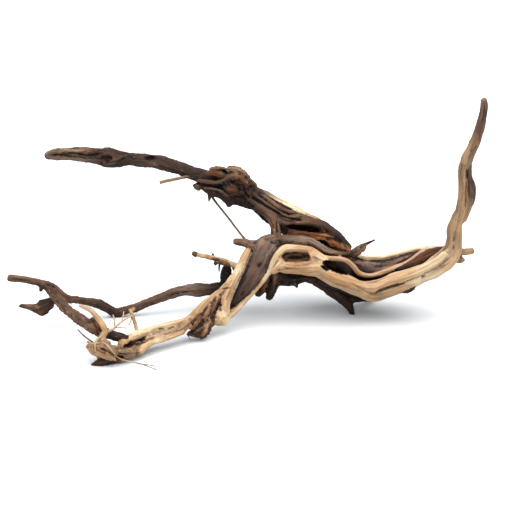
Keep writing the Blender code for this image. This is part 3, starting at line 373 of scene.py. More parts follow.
    "hookBase": (("clay", "drift", "tan"), 0.5, [
        (-160, -29, -128, 5, 6), (-156, -24.5, -125, 6, 6), (-151.5, -18, -121, 5.5, 6)]),
    "hookBark": (("umber", "maroon", "russet", "maroon", "umber"), 1, [
        (-164, -5, -108, 3.5, 5), (-160.5, -10, -111, 6, 7), (-158, -15, -114, 6.5, 7),
        (-156.5, -20, -117, 5.5, 6), (-156.5, -21.5, -118, 3, 5)]),
    "stubFace": (("ash", "bark", "ash", "ash"), 0.7, [
        (-23.5, 72.4, -19, 6.3, 6), (-19, 71.8, -20, 7.4, 7), (-12, 70.6, -19.5, 7.8, 8),
        (-4, 69, -18, 8, 8)]),
    "stubBump": (("bark", "rough"), 0.8, [
        (-9, 69, -22, 4, 5), (-5, 67.5, -23, 5.5, 6), (-1, 65, -23, 4, 5)]),
    "dripBlob": (("shadeBlack", "shadeBlack"), 0.4, [
        (-24, 114, 12, 8, 7), (-27.8, 109.8, 12, 7.2, 6), (-30.6, 108.6, 12, 4.8, 4)]),
    "branchFace": (("ochre", "tan", "tan", "ochre", "tan", "drift"), 0.6, [
        (-30, 52.5, -12, 4.6, 5), (-38, 54.5, -12, 5, 5.5), (-46, 56.4, -11, 4.7, 5),
        (-56, 58.2, -10, 4, 4.4), (-61, 59.2, -9.5, 4, 4.4)]),
    "branchBark": (("rough", "umber", "rough", "bark"), 1, [
        (-45, 55, -14.5, 3, 4), (-39, 53, -15.5, 4.6, 5), (-33, 51, -15.5, 5, 5), (-27, 48.6, -14, 4, 4)]),
    "buttressA": (("rough", "hazel", "rough"), 0.4, [
        (17, 92, 1.5, 2.4, 4), (17.6, 84, -1, 2.6, 4), (17.8, 75, -5, 2.4, 4)]),
    "buttressB": (("rough", "rough", "rough"), 0.4, [
        (21.5, 90, 2, 2.4, 4), (22.4, 83, -0.5, 2.6, 4), (22.6, 76, -4, 2.4, 4)]),
    "ridgeEnd": (("cream", "tan", "cream"), 0.2, [
        (-16, 7.5, -46, 4, 6), (-21.5, 2, -50, 5, 7), (-27.5, -3.5, -54.5, 5, 7)]),
    "footTip": (("maroon", "russet", "umber"), 0.6, [
        (-166.5, -50.8, -140, 2, 3), (-161, -49.6, -140, 4, 5.5), (-154, -46.8, -139, 6.5, 7)]),
    "underDripA": (("umber", "shadeBlack"), 0.6, [
        (37, 33, -13, 7, 7), (39.5, 28.5, -13, 4, 5), (40.8, 25.8, -13, 2, 2.5)]),
    "underDripB": (("umber", "shadeBlack"), 0.6, [
        (29, 34, -16, 6, 7), (30, 30, -16, 3.4, 4), (30.6, 28, -16, 2, 2)]),
    "wallFill": (("plum", "plum", "ash"), 0.2, [
        (150, 57.5, 9, 5, 7), (163, 61.5, 6, 5, 7), (174, 63.5, 3, 4.5, 6)]),
    "splinterBark": (("umber", "bark", "ash", "bark"), 0.9, [
        (94, 59.3, -9, 7, 8), (99, 61.3, -10, 7.6, 8), (105, 65.9, -11, 7, 7), (110, 70, -12, 3.6, 4)]),
    "stubHighFace": (("hazel", "drift", "hazel"), 0.3, [
        (203, 61.8, -13, 6, 6), (210, 62, -11, 5.6, 6), (217, 62.8, -8, 5.2, 5.4)]),
    "stubLowFace": (("dun", "hazel", "dun"), 0.3, [
        (199, 54, -18, 6, 7), (204.5, 53.6, -15, 5.4, 6), (208, 54.6, -13, 3, 4)]),
    "barkShardD": (("clay", "rough", "russet"), 0.8, [
        (-38, 17, -55, 2, 4), (-42.5, 8.5, -62, 3, 5), (-46, 1, -68, 2.4, 4)]),
    "barkShardE": (("rough", "clay", "rough"), 1, [
        (-47, -6, -73, 3, 5), (-50.5, -15, -80, 4.2, 6), (-54.5, -22.5, -84, 3, 5)]),
    "barkShardF": (("maroon", "rough", "rough"), 1, [
        (-55, -2, -75, 3, 4), (-61, -10.5, -81, 4, 5), (-66, -16, -84.5, 3, 4)]),
    "barkShardG": (("rough", "clay", "rough"), 0.8, [
        (-46.5, 7.5, -66, 2.4, 4), (-50, 1, -71, 3.2, 5), (-53, -5, -75, 2.4, 4)]),
    "backMiddleStart": (("umber", "walnut", "bark"), 0.5, [
        (-36, 130, 32, 3, 4), (-27, 127, 36, 6, 7), (-16, 121.5, 39, 7.5, 9)]),
    "backLowStart": (("umber", "bark"), 0.5, [
        (-25, 122, 29, 2.5, 4), (-17, 117.5, 32, 4, 6), (-8, 111, 35, 6, 8)]),
    "backHighStart": (("walnut", "bark", "dun"), 0.4, [
        (-20, 136, 29, 2.5, 4), (-12, 131, 32, 4, 6), (-2, 124.5, 35, 5, 8)]),
    "rimStart": (("hazel", "cream", "ivory"), 0.1, [
        (78, 66, 41, 2.5, 4), (87, 62.5, 39.5, 4, 6), (98, 60.5, 36.5, 5, 8)]),
}

allLimbs = {**limbs, **strands}

# Hollows: centre (across, up, back) and half sizes (along, over, deep) in mm, turn in degrees, tone inside; a
# near-black tone inside is painted shade deep in the hollow
hollows = {
    "ovalHollow": ((40.5, 55.8, -27), (15, 4.8, 11), 2, "fawn"),
    "lipSlot": ((50, 85, 12), (22, 3.2, 12), -8, "maroon"),
    "limbEye": ((-107, 156, 32), (6, 2.2, 3.4), 4, "shadeBlack"),
    "limbMouth": ((-151, 156, 36), (6.5, 3.2, 3.4), -6, "shadeBlack"),
    "knotEye": ((-24.5, 131.5, 4), (3.8, 2.6, 5), -20, "shadeBlack"),
    "endHole": ((-137, -44.5, -141), (4, 2.6, 6), -5, "maroon"),
    "stubGap": ((66, 69, 4), (8, 4, 9), -24, "shadeBlack"),
    "frontGroove": ((-116, -27.2, -118), (17, 2.4, 5.5), 19, "russet"),
    "frontHole": ((-129, -32.2, -127), (6, 2, 7), 16, "maroon"),
    "endPit": ((-153.5, -35.5, -143), (3.4, 1.2, 4), -25, "maroon"),
    "endCrack": ((-146, -39.5, -146), (3.2, 1, 4), -32, "maroon"),
    "ridgePit": ((-36.2, 9, -60), (1.6, 2.4, 4), 10, "umber"),
    "wedgeStart": ((77, 46.8, -26), (14.5, 4.4, 21), -24, "shadeBlack"),
    "wedgeTip": ((67.4, 45.8, -32), (5, 2.1, 13), -28, "shadeBlack"),
    "grooveFar": ((-104, -23.9, -111), (15, 1.2, 3.6), 17, "drift"),
}

# How the skin is made, in mm unless a share is meant
rootSkin = {
    "ringSides": 28, "loftStep": 1.5, "flutes": 5, "fluteDepth": 0.09, "fluteTwist": 25, "gnarlDepth": 0.16,
    "gnarlsPerMetre": 70, "endRound": 0.4, "voxel": 1.0, "keptFaces": 0.52, "softBlend": 1.1, "reach": 8,
    "endSize": 0.65, "hollowMargin": 1.12, "stoutFrom": 5, "leastGrain": 0.5, "grainFade": 1.5,
}


def placeInView(across, up, back):
    slope = (up - frontView["aimUp"]) / frontView["distance"]
    lean, drop = math.cos(viewTilt), math.sin(viewTilt)
    rise = (slope * (frontView["distance"] + back * lean) - back * drop) / (lean + slope * drop)
    spread = 1 + (back * lean - rise * drop) / frontView["distance"]
    return (Vector((across * spread, back, rise + frontView["aimHeight"])) - Vector(frontView["origin"])) * mm


def seenFromFront(points):
    # Where world points appear in the front view, in mm across and up
    rel = points / mm + np.array(frontView["origin"]) - (0, 0, frontView["aimHeight"])
    nearness = frontView["distance"] / (frontView["distance"] + rel @ np.array(sightLine))
    return rel[:, 0] * nearness, rel @ np.array(viewOver) * nearness + frontView["aimUp"]


def smoothRows(stations, step):
    # Catmull-Rom rows of (x, y, z, wide, thick) in metres
    rows = np.array([[*placeInView(*row[:3]), row[3] * mm, row[-1] * mm] for row in stations])
    padded = np.vstack([rows[0], rows, rows[-1]])
    result = []
    for index in range(len(rows) - 1):
        a, b, c, d = padded[index:index + 4]
        count = max(1, math.ceil(np.linalg.norm(c[:3] - b[:3]) / step))
        for share in np.arange(count) / count:
            result.append(b + 0.5 * share * (c - a + share * (2 * a - 5 * b + 4 * c - d
                                                              + share * (3 * (b - c) + d - a))))
    return np.array(result + [rows[-1]])


def limbFrames(rows):
    # Centres, the three axes of each section, the half sizes and the distance travelled
    centres = rows[:, :3]
    along = np.gradient(centres, axis=0)
    along /= np.linalg.norm(along, axis=1, keepdims=True)
    deep = np.array(sightLine) - along * (along @ np.array(sightLine))[:, None]
    deep /= np.linalg.norm(deep, axis=1, keepdims=True)
    side = np.cross(along, deep)
    travelled = np.concatenate([[0], np.cumsum(np.linalg.norm(np.diff(centres, axis=0), axis=1))])
    return {"centres": centres, "along": along, "deep": deep, "side": side, "half": rows[:, 3:] / 2,
            "travelled": travelled}


def limbMesh(shape, firstVertex):
    # Vertices and faces of one loft, with the twisting flutes and the gnarls of the solid
    sides = rootSkin["ringSides"]
    angles = 2 * math.pi * np.arange(sides) / sides
    flute = rootSkin["fluteDepth"] * np.cos(rootSkin["flutes"] * angles[None]
                                            + rootSkin["fluteTwist"] * shape["travelled"][:, None])
    toEnd = np.minimum(shape["travelled"], shape["travelled"][-1] - shape["travelled"])
    rounding = np.sqrt(np.clip(toEnd / (rootSkin["endRound"] * shape["half"].min(1)), 0, 1))
    half = shape["half"] * (rootSkin["endSize"] + (1 - rootSkin["endSize"]) * rounding)[:, None]
    arms = (shape["side"][:, None] * (half[:, :1] * np.cos(angles))[..., None]
            + shape["deep"][:, None] * (half[:, 1:] * np.sin(angles))[..., None])
    corners = shape["centres"][:, None] + arms
    gnarl = np.array([noise.noise(corner * rootSkin["gnarlsPerMetre"])
                      for corner in map(Vector, corners.reshape(-1, 3))])
    swell = 1 + flute + rootSkin["gnarlDepth"] * gnarl.reshape(flute.shape)
    points = (shape["centres"][:, None] + arms * swell[..., None]).reshape(-1, 3)
    faces = [tuple(firstVertex + side for side in range(sides))]
    for ring in range(len(shape["centres"]) - 1):
        low = firstVertex + ring * sides
        faces += [(low + side, low + (side + 1) % sides, low + sides + (side + 1) % sides, low + sides + side)
                  for side in range(sides)]
    last = firstVertex + (len(shape["centres"]) - 1) * sides
    return points, faces + [tuple(last + side for side in reversed(range(sides)))]


def newObject(name, data):
    result = bpy.data.objects.new(name, data)
    bpy.context.scene.collection.objects.link(result)
    return result


def applyModifiers(target):
    data = bpy.data.meshes.new_from_object(target.evaluated_get(bpy.context.evaluated_depsgraph_get()))
    target.modifiers.clear()
    target.data = data


def hollowPlace(name):
    # Turns a unit sphere into the hollow
    centre, halfSizes, turn, _ = hollows[name]
    facing = Matrix.Rotation(math.pi / 2 - viewTilt, 4, "X") @ Matrix.Rotation(math.radians(turn), 4, "Z")
    size = Matrix.Diagonal((*(half * mm for half in halfSizes), 1))
    return Matrix.Translation(placeInView(*centre)) @ facing @ size


def makeHollow(name):
    mesh = bmesh.new()
    bmesh.ops.create_uvsphere(mesh, u_segments=24, v_segments=16, radius=1)
    mesh.transform(hollowPlace(name))
    data = bpy.data.meshes.new(name)
    mesh.to_mesh(data)
    mesh.free()
    return newObject(name, data)


def fuse(target):
    skin = target.modifiers.new("fuse", "REMESH")
    skin.mode = "VOXEL"
    skin.voxel_size = rootSkin["voxel"] * mm
    applyModifiers(target)


def keepLargestBody(target):
    mesh = bmesh.new()
    mesh.from_mesh(target.data)
    unseen = set(mesh.verts)
    bodies = []
    while unseen:
        body, edge = set(), {unseen.pop()}
        while edge:
            body |= edge
            edge = {link.other_vert(vert) for vert in edge for link in vert.link_edges} & unseen
            unseen -= edge
        bodies.append(body)
    largest = max(bodies, key=len)
    loose = [vert for body in bodies if body is not largest for vert in body]
    bmesh.ops.delete(mesh, geom=loose, context="VERTS")
    mesh.to_mesh(target.data)
    mesh.free()


def makeSkin(shapes):
    points, faces = [], []
    for shape in shapes.values():
        some, someFaces = limbMesh(shape, sum(map(len, points)))
        points.append(some)
        faces += someFaces
    data = bpy.data.meshes.new("satung root")
    data.from_pydata(np.vstack(points), [], faces)
    root = newObject("satung root", data)
    fuse(root)
    keepLargestBody(root)
    cutters = [makeHollow(name) for name in hollows]
    for cutter in cutters:
        difference = root.modifiers.new(cutter.name, "BOOLEAN")
        difference.operation = "DIFFERENCE"
        difference.solver = "MANIFOLD"
        difference.object = cutter
    applyModifiers(root)
    for cutter in cutters:
        bpy.data.objects.remove(cutter)
    fuse(root)
    soften = root.modifiers.new("soften", "SMOOTH")
    soften.factor = 0.5
    soften.iterations = 2
    fewer = root.modifiers.new("fewer faces", "DECIMATE")
    fewer.ratio = rootSkin["keptFaces"]
    root.modifiers.new("triangles", "TRIANGULATE")
    applyModifiers(root)
    keepLargestBody(root)
    return root


def vertexArray(source, key="co"):
    result = np.empty(len(source) * 3, np.float32)
    source.foreach_get(key, result)
    return result.reshape(-1, 3).astype(float)


def nearLimb(shape, points):
    # For points near a limb: which they are, the depth under its skin and where they are in its own frame
    reach = shape["half"].max() + rootSkin["reach"] * mm
    low, high = shape["centres"].min(0) - reach, shape["centres"].max(0) + reach
    near = np.flatnonzero(((points > low) & (points < high)).all(1))
    if not len(near):
        return near, np.zeros(0), np.zeros((0, 3))
    some = points[near]
    nearest = ((shape["centres"] ** 2).sum(1) - 2 * some @ shape["centres"].T).argmin(1)
    rel = some - shape["centres"][nearest]
    across = (rel * shape["side"][nearest]).sum(1)
    inward = (rel * shape["deep"][nearest]).sum(1)
    onward = (rel * shape["along"][nearest]).sum(1)
    half = shape["half"][nearest]
    ends = (nearest == 0) | (nearest == len(shape["centres"]) - 1)
    past = np.where(ends, np.abs(onward), 0)
    gap = (np.sqrt((across / half[:, 0]) ** 2 + (inward / half[:, 1]) ** 2) - 1) * half.min(1) + past
    return near, gap, np.stack([across, inward, shape["travelled"][nearest] + onward], 1)


def toLinear(hexColour):
    parts = [int(hexColour[at:at + 2], 16) / 255 for at in (1, 3, 5)]
    return [part / 12.92 if part <= 0.04045 else ((part + 0.055) / 1.055) ** 2.4 for part in parts]


def limbColouring(colours, share):
    # Colour and paleness at each share of the limb's length
    stops = np.linspace(0, 1, len(colours))
    tones = np.array([toLinear(woodColours[name][0]) for name in colours])
    paleness = np.array([woodColours[name][1] for name in colours], float)
    return (np.stack([np.interp(share, stops, tones[:, part]) for part in range(3)], 1),
            np.interp(share, stops, paleness))


def addAttribute(data, name, kind, domain, values):
    attribute = data.attributes.new(name, kind, domain)
    key = {"FLOAT": "value", "FLOAT_VECTOR": "vector", "FLOAT_COLOR": "color"}[kind]
    attribute.data.foreach_set(key, np.ascontiguousarray(values, np.float32).ravel())


def colourByLimb(data, shapes):
    # Writes each vertex's wood colours, paleness and roughness from the limbs near it, and the grain's frame
    points = vertexArray(data.vertices)
    found = {}
    closest, second = np.ones(len(points)), np.ones(len(points))  # in metres, so past any limb
    owner = np.zeros(len(points), int)
    for number, (name, shape) in enumerate(shapes.items()):
        near, gap, local = nearLimb(shape, points)
        found[name] = near, gap, local
        second[near] = np.minimum(second[near], np.maximum(gap, closest[near]))
        better = gap < closest[near]
        owner[near[better]] = number
        closest[near[better]] = gap[better]
    tiny = 1e-9
    tones = {pale: np.zeros((len(points), 3)) for pale in (True, False)}
    weights = {pale: np.full(len(points), tiny) for pale in (True, False)}
    rough, stout = np.zeros(len(points)), np.zeros(len(points))
    for name, (near, gap, local) in found.items():
        weight = np.exp(-(gap - closest[near]) / (rootSkin["softBlend"] * mm))
        share = local[:, 2] / shapes[name]["travelled"][-1]
        colour, paleness = limbColouring(allLimbs[name][0], np.clip(share, 0, 1))
        for pale in (True, False):
            part = weight * (paleness if pale else 1 - paleness)
            tones[pale][near] += colour * part[:, None]
            weights[pale][near] += part
        rough[near] += weight * allLimbs[name][1]
        thickness = shapes[name]["half"].min(1).mean() / (rootSkin["stoutFrom"] * mm)
        stout[near] += weight * np.clip(thickness, rootSkin["leastGrain"], 1)
    # Each hollow's tone replaces the limbs' colours inside it; the near-black ones are painted shade
    for name, (*_, tone) in hollows.items():
        away = np.linalg.norm(np.column_stack([points, np.ones(len(points))])
                              @ np.array(hollowPlace(name).inverted()).T[:, :3], axis=1)
        inside = away < rootSkin["hollowMargin"]
        for pale in (True, False):
            part = max(woodColours[tone][1] if pale else 1 - woodColours[tone][1], tiny)
            tones[pale][inside] = np.array(toLinear(woodColours[tone][0])) * part
            weights[pale][inside] = part
    total = weights[True] + weights[False]
    for pale, name in ((True, "paleTone"), (False, "darkTone")):
        tone = tones[pale] / weights[pale][:, None]
        addAttribute(data, name, "FLOAT_COLOR", "POINT", np.column_stack([tone, np.ones(len(points))]))
    addAttribute(data, "paleness", "FLOAT", "POINT", weights[True] / total)
    addAttribute(data, "roughBark", "FLOAT", "POINT", np.minimum(rough / total, 1))
    sure = np.clip((second - closest) / (rootSkin["grainFade"] * mm), 0, 1)
    addAttribute(data, "ownGrain", "FLOAT", "POINT", sure * np.minimum(stout / total, 1))
    grainByLimb(data, points, owner, shapes)


def grainByLimb(data, points, owner, shapes):
    # The grain's frame is kept per face corner, so it doesn't smear from one limb into the next
    corners = np.empty(len(data.loops), int)
    data.loops.foreach_get("vertex_index", corners)
    faceOwner = owner[corners.reshape(-1, 3)].min(1)
    cornerOwner = np.repeat(faceOwner, 3)
    grain = np.zeros((len(corners), 3))
    limbShift = 0.1  # moves the pattern on from limb to limb, in metres
    for number, shape in enumerate(shapes.values()):
        mine = np.flatnonzero(cornerOwner == number)
        spots, back = np.unique(corners[mine], return_inverse=True)
        near, _, local = nearLimb(shape, points[spots])
        place = np.zeros((len(spots), 3))
        place[near] = local
        place[:, 2] += number * limbShift
        grain[mine] = place[back.reshape(-1)]
    addAttribute(data, "grain", "FLOAT_VECTOR", "CORNER", grain)


def addNode(tree, kind, settings=None, inputs=None):
    # One node: its properties, and its inputs by place or identifier, each a value, a socket or a node
    node = tree.nodes.new(kind)
    for key, value in (settings or {}).items():
        setattr(node, key, value)
    for key, value in (inputs or {}).items():
        socket = (node.inputs[key] if isinstance(key, int)
                  else next(s for s in node.inputs if s.identifier == key))
        if isinstance(value, bpy.types.Node):
            value = next(s for s in value.outputs if s.enabled)
        if isinstance(value, bpy.types.NodeSocket):
            tree.links.new(value, socket)
        else:
            socket.default_value = value
    return node


def newTree(name, values):
    # A geometry tree with one named input for each value
    tree = bpy.data.node_groups.new(name, "GeometryNodeTree")
    tree.interface.new_socket("Geometry", in_out="INPUT", socket_type="NodeSocketGeometry")
    tree.interface.new_socket("Geometry", in_out="OUTPUT", socket_type="NodeSocketGeometry")
    for key, value in values.items():
        kind = "NodeSocketInt" if isinstance(value, int) else "NodeSocketFloat"
        tree.interface.new_socket(key, in_out="INPUT", socket_type=kind)
    return tree, addNode(tree, "NodeGroupInput").outputs


def runTree(target, tree, values):
    # Sets the inputs by their identifiers, then keeps the result as a plain mesh
    modifier = target.modifiers.new(tree.name, "NODES")
    modifier.node_group = tree
    for item in tree.interface.items_tree:
        if item.in_out == "INPUT" and item.name in values:
            modifier[item.identifier] = values[item.name]
    applyModifiers(target)


def finishTree(tree, geometry, material):
    real = addNode(tree, "GeometryNodeRealizeInstances", inputs={0: geometry})
    painted = addNode(tree, "GeometryNodeSetMaterial", inputs={0: real, "Material": material})
    addNode(tree, "NodeGroupOutput", inputs={0: painted})


# Relief of the skin: sizes in metres, and how much longer than wide the grain's waves are
relief = {"Flute Width": 4.5 * mm, "Flute Depth": 0.9 * mm, "Fibre Width": 2.0 * mm, "Fibre Depth": 0.4 * mm,
          "Bark Size": 3.0 * mm, "Bark Depth": 1.35 * mm, "Grain Stretch": 11.0, "Seed": 3.0}


def reliefTree(material):
    tree, given = newTree("weathered relief", relief)
    grain = addNode(tree, "GeometryNodeInputNamedAttribute", {"data_type": "FLOAT_VECTOR"}, {"Name": "grain"})
    shorter = addNode(tree, "ShaderNodeMath", {"operation": "DIVIDE"}, {0: 1.0, 1: given["Grain Stretch"]})
    squeeze = addNode(tree, "ShaderNodeCombineXYZ", inputs={0: 1.0, 1: 1.0, 2: shorter})
    along = addNode(tree, "ShaderNodeVectorMath", {"operation": "MULTIPLY"}, {0: grain, 1: squeeze})
    noiseGain = 4.0  # noise seldom strays more than a quarter from its middle
    heights = []
    for width, depth, place, detail in (("Flute Width", "Flute Depth", along, 1.0),
                                        ("Fibre Width", "Fibre Depth", along, 2.0),
                                        ("Bark Size", "Bark Depth", None, 3.0)):
        scale = addNode(tree, "ShaderNodeMath", {"operation": "DIVIDE"}, {0: 1.0, 1: given[width]})
        pattern = addNode(tree, "ShaderNodeTexNoise", {"noise_dimensions": "4D"},
                          {"Scale": scale, "Detail": detail, "W": given["Seed"]})
        if place:
            tree.links.new(place.outputs[0], pattern.inputs["Vector"])
        centred = addNode(tree, "ShaderNodeMath", {"operation": "SUBTRACT"}, {0: pattern, 1: 0.5})
        deep = addNode(tree, "ShaderNodeMath", {"operation": "MULTIPLY"}, {0: centred, 1: given[depth]})
        heights.append(addNode(tree, "ShaderNodeMath", {"operation": "MULTIPLY"}, {0: deep, 1: noiseGain}))
    share = {}
    for name in ("ownGrain", "roughBark", "splitDepth"):
        share[name] = addNode(tree, "GeometryNodeInputNamedAttribute", {"data_type": "FLOAT"}, {"Name": name})
    woody = addNode(tree, "ShaderNodeMath", {"operation": "ADD"}, {0: heights[0], 1: heights[1]})
    woody = addNode(tree, "ShaderNodeMath", {"operation": "MULTIPLY"}, {0: woody, 1: share["ownGrain"]})
    barky = addNode(tree, "ShaderNodeMath", {"operation": "MULTIPLY"}, {0: heights[2], 1: share["roughBark"]})
    both = addNode(tree, "ShaderNodeMath", {"operation": "ADD"}, {0: woody, 1: barky})
    height = addNode(tree, "ShaderNodeMath", {"operation": "SUBTRACT"}, {0: both, 1: share["splitDepth"]})
    normal = addNode(tree, "GeometryNodeInputNormal")
    offset = addNode(tree, "ShaderNodeVectorMath", {"operation": "SCALE"}, {0: normal, "Scale": height})
    moved = addNode(tree, "GeometryNodeSetPosition", inputs={"Geometry": given["Geometry"], "Offset": offset})
    finishTree(tree, moved, material)
    return tree


# Splits, slits and folds in what the front shows: width, depth, points (across, up), all in mm. Their dark
# colour is painted shade in the slits and under the folds
splits = [
    (1.2, 1.4, [(118.5, 20.3), (122, 22.6)]),
    (2.1, 2.2, [(122, 22.8), (127, 24.6), (136, 27.7), (141, 29.1)]),
    (1.0, 1.4, [(141, 29.1), (147.5, 30.2)]),
    (1.8, 1.2, [(165.5, 37), (168, 37.8)]),
    (0.7, 0.8, [(96, 30), (106, 24), (113, 20.5), (117, 20)]),
    (1.4, 1.3, [(198.3, 82.5), (197.6, 77), (196.8, 73)]),
    (1.1, 1.1, [(197.2, 67.5), (196.8, 65)]),
    (1.0, 1.0, [(200, 47.5), (204, 54), (206, 62)]),
    (1.9, 2.2, [(210.6, 143), (210.5, 137)]),
    (0.5, 0.8, [(210.5, 137), (210, 122), (209.5, 108)]),
    (0.7, 0.8, [(213, 128), (214, 118), (213.5, 110)]),
    (0.8, 0.5, [(205.3, 117), (205.3, 114)]),
    (0.8, 0.9, [(214, 163), (221, 180), (226.5, 196), (228, 212)]),
    (0.6, 0.7, [(201, 92), (204.5, 104), (206, 118), (206.5, 132)]),
    (0.6, 0.8, [(56, 57), (62, 54.5), (68, 53)]),
    (0.9, 0.7, [(20, 43), (30, 45.3), (42, 45.2), (54, 46.3)]),
    (0.8, 0.9, [(-97.5, -15), (-94, -14.8)]),
    (0.6, 0.8, [(-88.5, -15), (-83.5, -13)]),
    (1.2, 1.2, [(-124, -23.5), (-118.5, -22)]),
    (1.0, 1.0, [(-92, -20.3), (-86, -18.8)]),
    (0.5, 0.8, [(-86, -18.8), (-77, -16.5), (-70, -13), (-61.5, -5.8)]),
    (0.6, 0.9, [(-58, 3), (-50, 13), (-40, 21), (-31, 30)]),
    (1.6, 1.2, [(-36.5, 4.5), (-35.8, 3.4)]),
    (1.2, 1.5, [(20.2, 91), (20.2, 84), (20.4, 77)]),
    (0.5, 0.7, [(-13, 50), (-18, 40), (-25, 26), (-30, 14)]),
    (3.4, 1.2, [(1.6, 49), (3, 49.6)]),
    (1.2, 0.9, [(-13, 22), (-15, 19)]),
    (0.9, 1.4, [(-188, 160.5), (-180, 160.3), (-172, 158.5), (-162, 158.5)]),
    (0.6, 1.0, [(-190, 157.5), (-178, 157), (-166, 156)]),
    (1.0, 1.2, [(-98, 148.5), (-82, 143), (-66, 136.5)]),
    (1.8, 1.6, [(-150, 151.8), (-144, 151.2), (-138, 152.4), (-133, 155)]),
    (1.6, 2.2, [(-44.5, 143.5), (-39, 144.3), (-34, 143.4), (-30, 141)]),
    (1.3, 1.6, [(-60, 130.5), (-48, 129), (-38, 127.5), (-32, 128.5)]),
    (2.2, 2.0, [(-18, 134), (-13, 128), (-11, 120), (-8, 117)]),
    (1.6, 2.0, [(2, 119), (12, 112), (22, 104.5), (32, 99.5), (40, 101), (47, 100)]),
    (1.8, 2.0, [(-4, 116), (8, 109), (19.5, 102), (26, 97.5), (36, 94.6), (44, 94)]),
    (4.2, 1.6, [(-20, 133), (-17.6, 129), (-16.5, 124)]),
    (2.4, 1.4, [(-150.5, -36.5), (-145.5, -37.5)]),
    (1.0, 1.2, [(28, 108), (40, 102), (52, 98.5)]),
    (0.7, 1.0, [(-26, 26), (-44, 24), (-66, 22.5), (-84, 19)]),
    (0.7, 1.0, [(-198, 23), (-206, 29), (-226, 33), (-244, 35)]),
    (1.6, 2.0, [(-166, -33), (-160, -36), (-152, -40)]),
    (1.2, 1.4, [(-140, -35), (-134, -34), (-127, -34)]),
    (1.0, 1.2, [(-137, -40), (-130, -40.5), (-123, -39)]),
]

# How splits are cut: lengths in mm, "wobble" and "slope" as shares of a split's width
splitMaking = {"wobble": 0.8, "wobblesPerMetre": 400, "farthest": 3.0, "slope": 0.9, "leastSlope": 1.2,
               "facing": 0.1, "cell": 2.5, "cellRow": 4096, "seenDepth": 5}


def polylineGap(across, up, points):
    # Distance of view points from a line of points
    best = np.full(len(across), np.inf)
    for (ax, ay), (bx, by) in zip(points, points[1:]):
        length = (bx - ax) ** 2 + (by - ay) ** 2
        share = np.clip(((across - ax) * (bx - ax) + (up - ay) * (by - ay)) / length, 0, 1)
        best = np.minimum(best, np.hypot(across - ax - share * (bx - ax), up - ay - share * (by - ay)))
    return best


def seenFirst(points, across, up):
    # Which points nothing covers in the front view, judged in small square cells, numbered row by row
    depth = points @ np.array(sightLine)
    size = splitMaking["cell"]
    cells = np.round(across / size) * splitMaking["cellRow"] + np.round(up / size)
    _, cell = np.unique(cells, return_inverse=True)
    nearest = np.full(cell.max() + 1, np.inf)
    np.minimum.at(nearest, cell.reshape(-1), depth)
    return depth < nearest[cell.reshape(-1)] + splitMaking["seenDepth"] * mm


def cutSplits(data):
    # How far each vertex is from the nearest split's edge, in mm, and how deep the split takes it
    points = vertexArray(data.vertices)
    across, up = seenFromFront(points)
    facing = vertexArray(data.vertex_normals, "vector") @ np.array(sightLine) < splitMaking["facing"]
    spots = np.flatnonzero(facing & seenFirst(points, across, up))
    wobble = np.array([noise.noise(Vector(point) * splitMaking["wobblesPerMetre"])
                       for point in points[spots]])
    gaps, depths = np.full(len(points), splitMaking["farthest"]), np.zeros(len(points))
    for width, depth, line in splits:
        away = polylineGap(across[spots], up[spots], line)
        gaps[spots] = np.minimum(gaps[spots], away - width / 2 * (1 + splitMaking["wobble"] * wobble))
        slope = max(width * splitMaking["slope"], splitMaking["leastSlope"])
        depths[spots] = np.maximum(depths[spots], depth * mm * np.clip(1 - away / slope, 0, 1))
    addAttribute(data, "splitGap", "FLOAT", "POINT", gaps)
    addAttribute(data, "splitDepth", "FLOAT", "POINT", depths)


# Smoothing steps, and the depth in mm that counts as full after them
cavityScales = {4: 0.35, 30: 1.6}


def markCavities(data):
    # How far each vertex lies below (+) or above (-) its smoothed surroundings, at both scales together; the
    # colour layers use it to paint shade in the hollows and a highlight on the ridges
    points = vertexArray(data.vertices)
    edges = np.empty(len(data.edges) * 2, int)
    data.edges.foreach_get("vertices", edges)
    ends = edges.reshape(-1, 2)
    count = len(points)
    valence = np.bincount(edges, minlength=count)[:, None]
    normals = vertexArray(data.vertex_normals, "vector")
    smooth = points.copy()
    depths = []
    for step in range(1, max(cavityScales) + 1):
        total = np.stack([np.bincount(ends[:, 0], smooth[ends[:, 1], part], count)
                          + np.bincount(ends[:, 1], smooth[ends[:, 0], part], count) for part in range(3)], 1)
        smooth = total / valence
        if step in cavityScales:
            depths.append(((smooth - points) * normals).sum(1) / mm / cavityScales[step])
    addAttribute(data, "cavity", "FLOAT", "POINT", np.clip(sum(depths), -2, 2))


